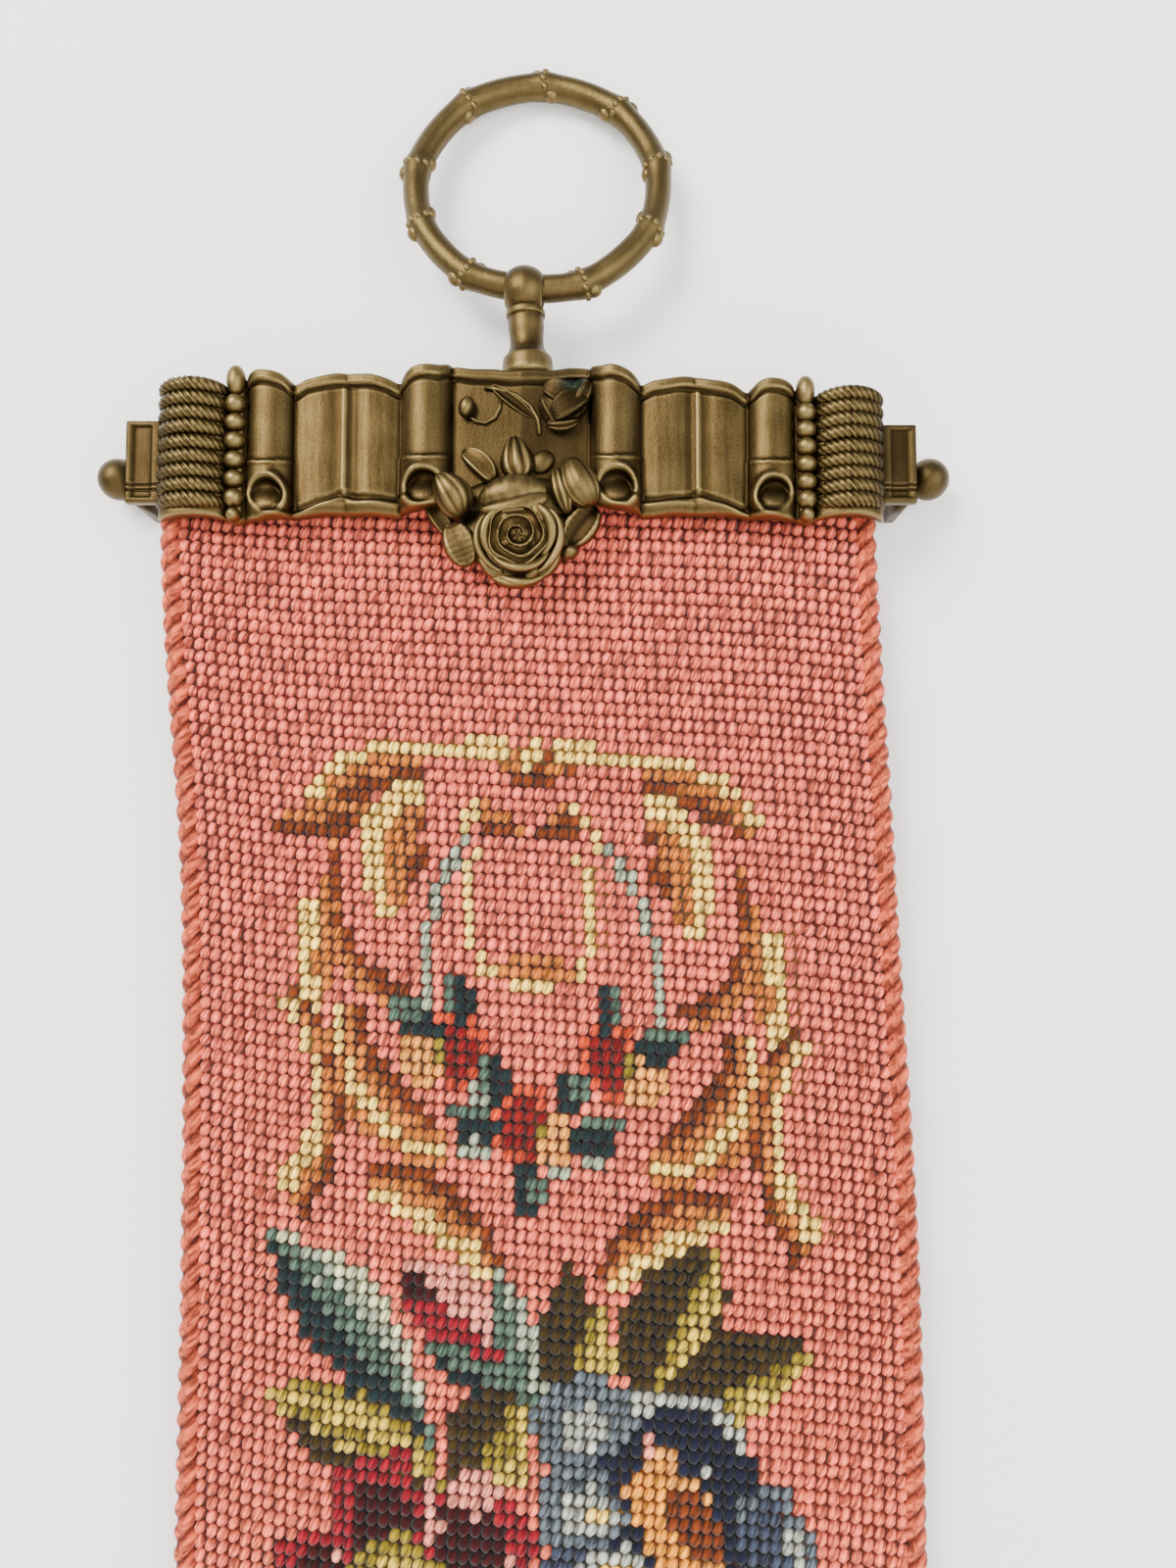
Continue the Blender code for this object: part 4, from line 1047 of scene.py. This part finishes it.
# the flanges that hold the rod, and the block that holds the stem
fittings = [fitting(side * header["flangeAt"], 1.1, -11.7, 6.4 - 0.5 * side, 2.6) for side in (-1, 1)]
fittings.append(fitting(0, 6, 11.2, 17.6, -5.4))
borders, rose = joined(ropes() + beads() + fittings), joined(rosePieces())
for name, shape in (("rope_and_bead_borders", borders), ("rose_and_leaves", rose)):
    piece(name, shape, cast, "header_casting", extra=patinaAndShade(shape))
print("header cast")


# the ring
ring = {  # in mm and degrees
    "radius": 29.4, "tube": 3.15, "centre": (1.1, -5.5, -25.6), "lean": 10.6,
    "knots": (87, 48, 11, -24, -68, -123, 170, 126, 201), "beadsRound": (-38, -4, 30, 64, 98, 132),
}


def ringPoint(degrees, radius):
    # a point on the leaning ring, by its angle and its distance from the ring's middle
    angle, lean = np.radians(degrees), np.radians(ring["lean"])
    place = np.stack([np.cos(angle), np.sin(angle) * np.sin(lean), np.sin(angle) * np.cos(lean)], axis=-1)
    return np.array(ring["centre"]) + np.asarray(radius)[..., None] * place


def knottyRing():
    # a bent twig: nearly straight from knot to knot, swelling before each, with a beaded collar and cut stubs
    degrees = np.linspace(0, 360, 432, endpoint=False)
    knots = np.sort(np.array(ring["knots"]) % 360)
    wrapped = np.concatenate([knots[-1:] - 360, knots, knots[:1] + 360])
    after = np.searchsorted(wrapped, degrees, side="right")
    low, high = wrapped[after - 1], wrapped[np.clip(after, 0, len(wrapped) - 1)]
    half = np.radians((high - low) / 2)
    chord = np.cos(half) / np.cos(np.radians(degrees - (low + high) / 2))
    centre = ring["radius"] * (1 + 0.3 * (chord - 1) * (half < 0.6) + 0.004)
    nearest = np.minimum(degrees - low, high - degrees)
    thick = ring["tube"] * (1 + 0.10 * hump(nearest, 0, 4.5) + 0.015 * np.sin(np.radians(degrees * 7)))
    path = ringPoint(degrees, centre)
    lean = np.radians(ring["lean"])
    axis = np.array([0, -np.cos(lean), np.sin(lean)])
    outwards = (path - np.array(ring["centre"])) / centre[:, None]
    phi = np.linspace(0, tau, 22, endpoint=False)[None, :, None]
    spoke = outwards[:, None] * np.cos(phi) + axis * np.sin(phi)
    shapes = [endless(path[:, None] + thick[:, None, None] * spoke)]
    for number, knot in enumerate(ring["knots"]):
        here = ringPoint(float(knot), ring["radius"])
        out = (here - np.array(ring["centre"])) / ring["radius"]
        forward = np.cross(out, axis)
        for around in ring["beadsRound"]:
            a = np.radians(around + 9 * (number % 3))
            place = here + ring["tube"] * (out * np.cos(a) + axis * np.sin(a)) + forward * 0.3 * np.sin(3 * a)
            shapes.append(ball(place, (0.85, 0.85, 0.9), 7, 10))
        for sign in (1, -1):
            shift = 1.9 * sign * (1 if number % 2 else -1)
            place = here + out * sign * (ring["tube"] - 1.0) + forward * shift
            shapes.append(ball(place, (2.1, 1.9, 2.1), 9, 14))
    return joined(shapes)


twig = knottyRing()
piece("knotty_ring", twig, cast, "hanging_ring", extra={"sootAndShade": np.full(len(twig[0]), 0.22)})
print("ring bent")


# stem, rod and knobs, all turned
def curveThrough(points, steps):
    # a smooth line through a few points, one Hermite curve after another
    points = np.asarray(points, float)
    t = np.linspace(0, len(points) - 1, steps)
    i = np.clip(t.astype(int), 0, len(points) - 2)
    slopes = np.gradient(points, axis=0)
    return hermite((t - i)[:, None], points[i], points[i + 1], slopes[i], slopes[i + 1])


turned = {  # in mm and degrees; the foot by its radius and height below the ball's middle
    "ball": 5.8, "bore": 3.75, "ballAt": 264.9, "lean": 2.4, "knob": 4.9, "knobOut": 96.4,
    "foot": (
        (3.6, -4.4), (4.5, -5.0), (4.6, -6.2), (4.2, -6.8), (4.2, -8.8), (3.95, -11.6), (4.1, -14.0),
        (5.0, -15.8), (5.8, -16.9), (5.9, -20.8),
    ),
}


def lathe(centre, axis, profile, around=48):
    # rings about an axis from (radius, distance along it) pairs in mm
    axis = unit(np.array(axis, float))
    side = unit(np.cross(axis, (0.3, 0.9, 0.1)))
    other = np.cross(axis, side)
    phi = np.linspace(0, tau, around, endpoint=False)[None, :, None]
    radius, along = np.array(profile, float).T[:, :, None, None]
    return np.array(centre) + along * axis + radius * (side * np.cos(phi) + other * np.sin(phi))


def turnedPieces():
    # the bored ball on its turned foot, and the round knobs at the rod's ends
    here = ringPoint(turned["ballAt"], ring["radius"])
    forward = ringPoint(turned["ballAt"] + 1, ring["radius"]) - here
    mouth = np.arcsin(turned["bore"] / turned["ball"])
    theta = np.linspace(mouth, np.pi - mouth, 30)
    shell = [(turned["ball"] * np.sin(t), -turned["ball"] * np.cos(t)) for t in theta]
    bore = [(turned["bore"], turned["ball"] * np.cos(mouth) * share) for share in (0.98, 0.33, -0.33, -0.98)]
    lean = np.radians(turned["lean"])
    foot = lathe(here, (-np.sin(lean), 0, np.cos(lean)), curveThrough(turned["foot"], 40))
    stem = joined([endless(lathe(here, forward, shell + bore)), closed(foot * mm)])
    piece("stem_and_ball", stem, cast, "ball_stem")
    theta = np.linspace(0.08, np.pi - 0.08, 25)
    profile = [(turned["knob"] * np.sin(t), turned["knob"] * np.cos(t)) for t in theta]
    for name, side in (("left_knob", -1), ("right_knob", 1)):
        place = (header["x"] + side * turned["knobOut"], rodY / mm, rodZ / mm)
        shape = closed(lathe(place, (1, 0, 0), profile, 36) * mm)
        dull = {"sootAndShade": np.full(len(shape[0]), 0.45)}
        piece(name + "_ball", shape, cast, name, extra=dull)
    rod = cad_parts["hanger_rod"]
    rod.data.materials.clear()
    rod.data.materials.append(cast)


turnedPieces()
print("stem and knobs turned")


# wall, floor, lights and camera
stage = {  # in m, the lamps by name, place, size, power in W and colour
    "wallColour": "#F6F6F5", "wallGlow": 0.17, "wallY": 4 * mm, "wallTop": 1.5, "wide": 3,
    "floorColour": "#EDEAE6", "floorZ": -1.0, "floorNear": -4, "floorFar": 2,
    "room": "#F4F4F4", "roomGlow": 0.7, "lampsLookAt": (0, 0, -0.25),
    "lamps": (
        ("key", (-0.7, -1.1, 0.45), 0.7, 40, "#FFFAF4"), ("fill", (0.9, -1.2, -0.2), 1.2, 24, "#FFFFFF"),
        ("low", (0.1, -1.2, -1.0), 1.2, 11, "#FFFCF8"),
    ),
    "lens": 27, "sensor": 36,  # both in mm, and so is the camera's place; its tilt is in degrees
    "cameraAt": (13.32, -278.14, -188.92), "cameraTilt": 94,
}


def plainSurface(name, corners, colour, oneSided=False, glow=0.0):
    # one painted face; the wall glows a little, as a wall in a bright room lights what hangs on it
    mesh = bpy.data.meshes.new(name)
    mesh.from_pydata(corners, [], [(0, 1, 2, 3)])
    settings = {"Base Color": rgba(colour), "Emission Color": rgba(colour), "Emission Strength": glow}
    made, tree, shader = newMaterial(name + " paint", {"Roughness": 0.85, **settings})
    if oneSided:
        # seen from behind, the wall lets the eye through
        clear = node(tree, "ShaderNodeBsdfTransparent")
        facing = node(tree, "ShaderNodeNewGeometry")
        both = node(tree, "ShaderNodeMixShader", links={
            0: facing.outputs["Backfacing"], 1: shader.outputs[0], 2: clear.outputs[0],
        })
        tree.links.new(both.outputs[0], tree.nodes["Material Output"].inputs["Surface"])
    mesh.materials.append(made)
    shown = bpy.data.objects.new(name, mesh)
    bpy.context.scene.collection.objects.link(shown)


wide, wallY, floorZ, top, near, far = (
    stage[key] for key in ("wide", "wallY", "floorZ", "wallTop", "floorNear", "floorFar")
)
wall = [(x, wallY, z) for x, z in ((-wide, floorZ), (wide, floorZ), (wide, top), (-wide, top))]
floor = [(x, y, floorZ) for x, y in ((-wide, near), (wide, near), (wide, far), (-wide, far))]
plainSurface("wall", wall, stage["wallColour"], True, stage["wallGlow"])
plainSurface("floor", floor, stage["floorColour"])

for name, place, size, power, colour in stage["lamps"]:
    light = bpy.data.lights.new(name, "AREA")
    light.energy = power
    light.size = size
    light.color = linear(colour)
    lamp = bpy.data.objects.new(name, light)
    lamp.location = place
    lamp.rotation_euler = (Vector(stage["lampsLookAt"]) - Vector(place)).to_track_quat("-Z", "Y").to_euler()
    bpy.context.scene.collection.objects.link(lamp)

world = bpy.data.worlds.new("soft room")
bpy.context.scene.world = world
world.use_nodes = True
room = world.node_tree.nodes["Background"].inputs
room["Color"].default_value = rgba(stage["room"])
room["Strength"].default_value = stage["roomGlow"]

camera = bpy.data.objects.new("camera", bpy.data.cameras.new("camera"))
camera.data.lens = stage["lens"]
camera.data.sensor_width = stage["sensor"]
camera.data.clip_start = 0.01
camera.location = Vector(stage["cameraAt"]) * mm
camera.rotation_euler = (np.radians(stage["cameraTilt"]), 0, 0)
bpy.context.scene.collection.objects.link(camera)
bpy.context.scene.camera = camera
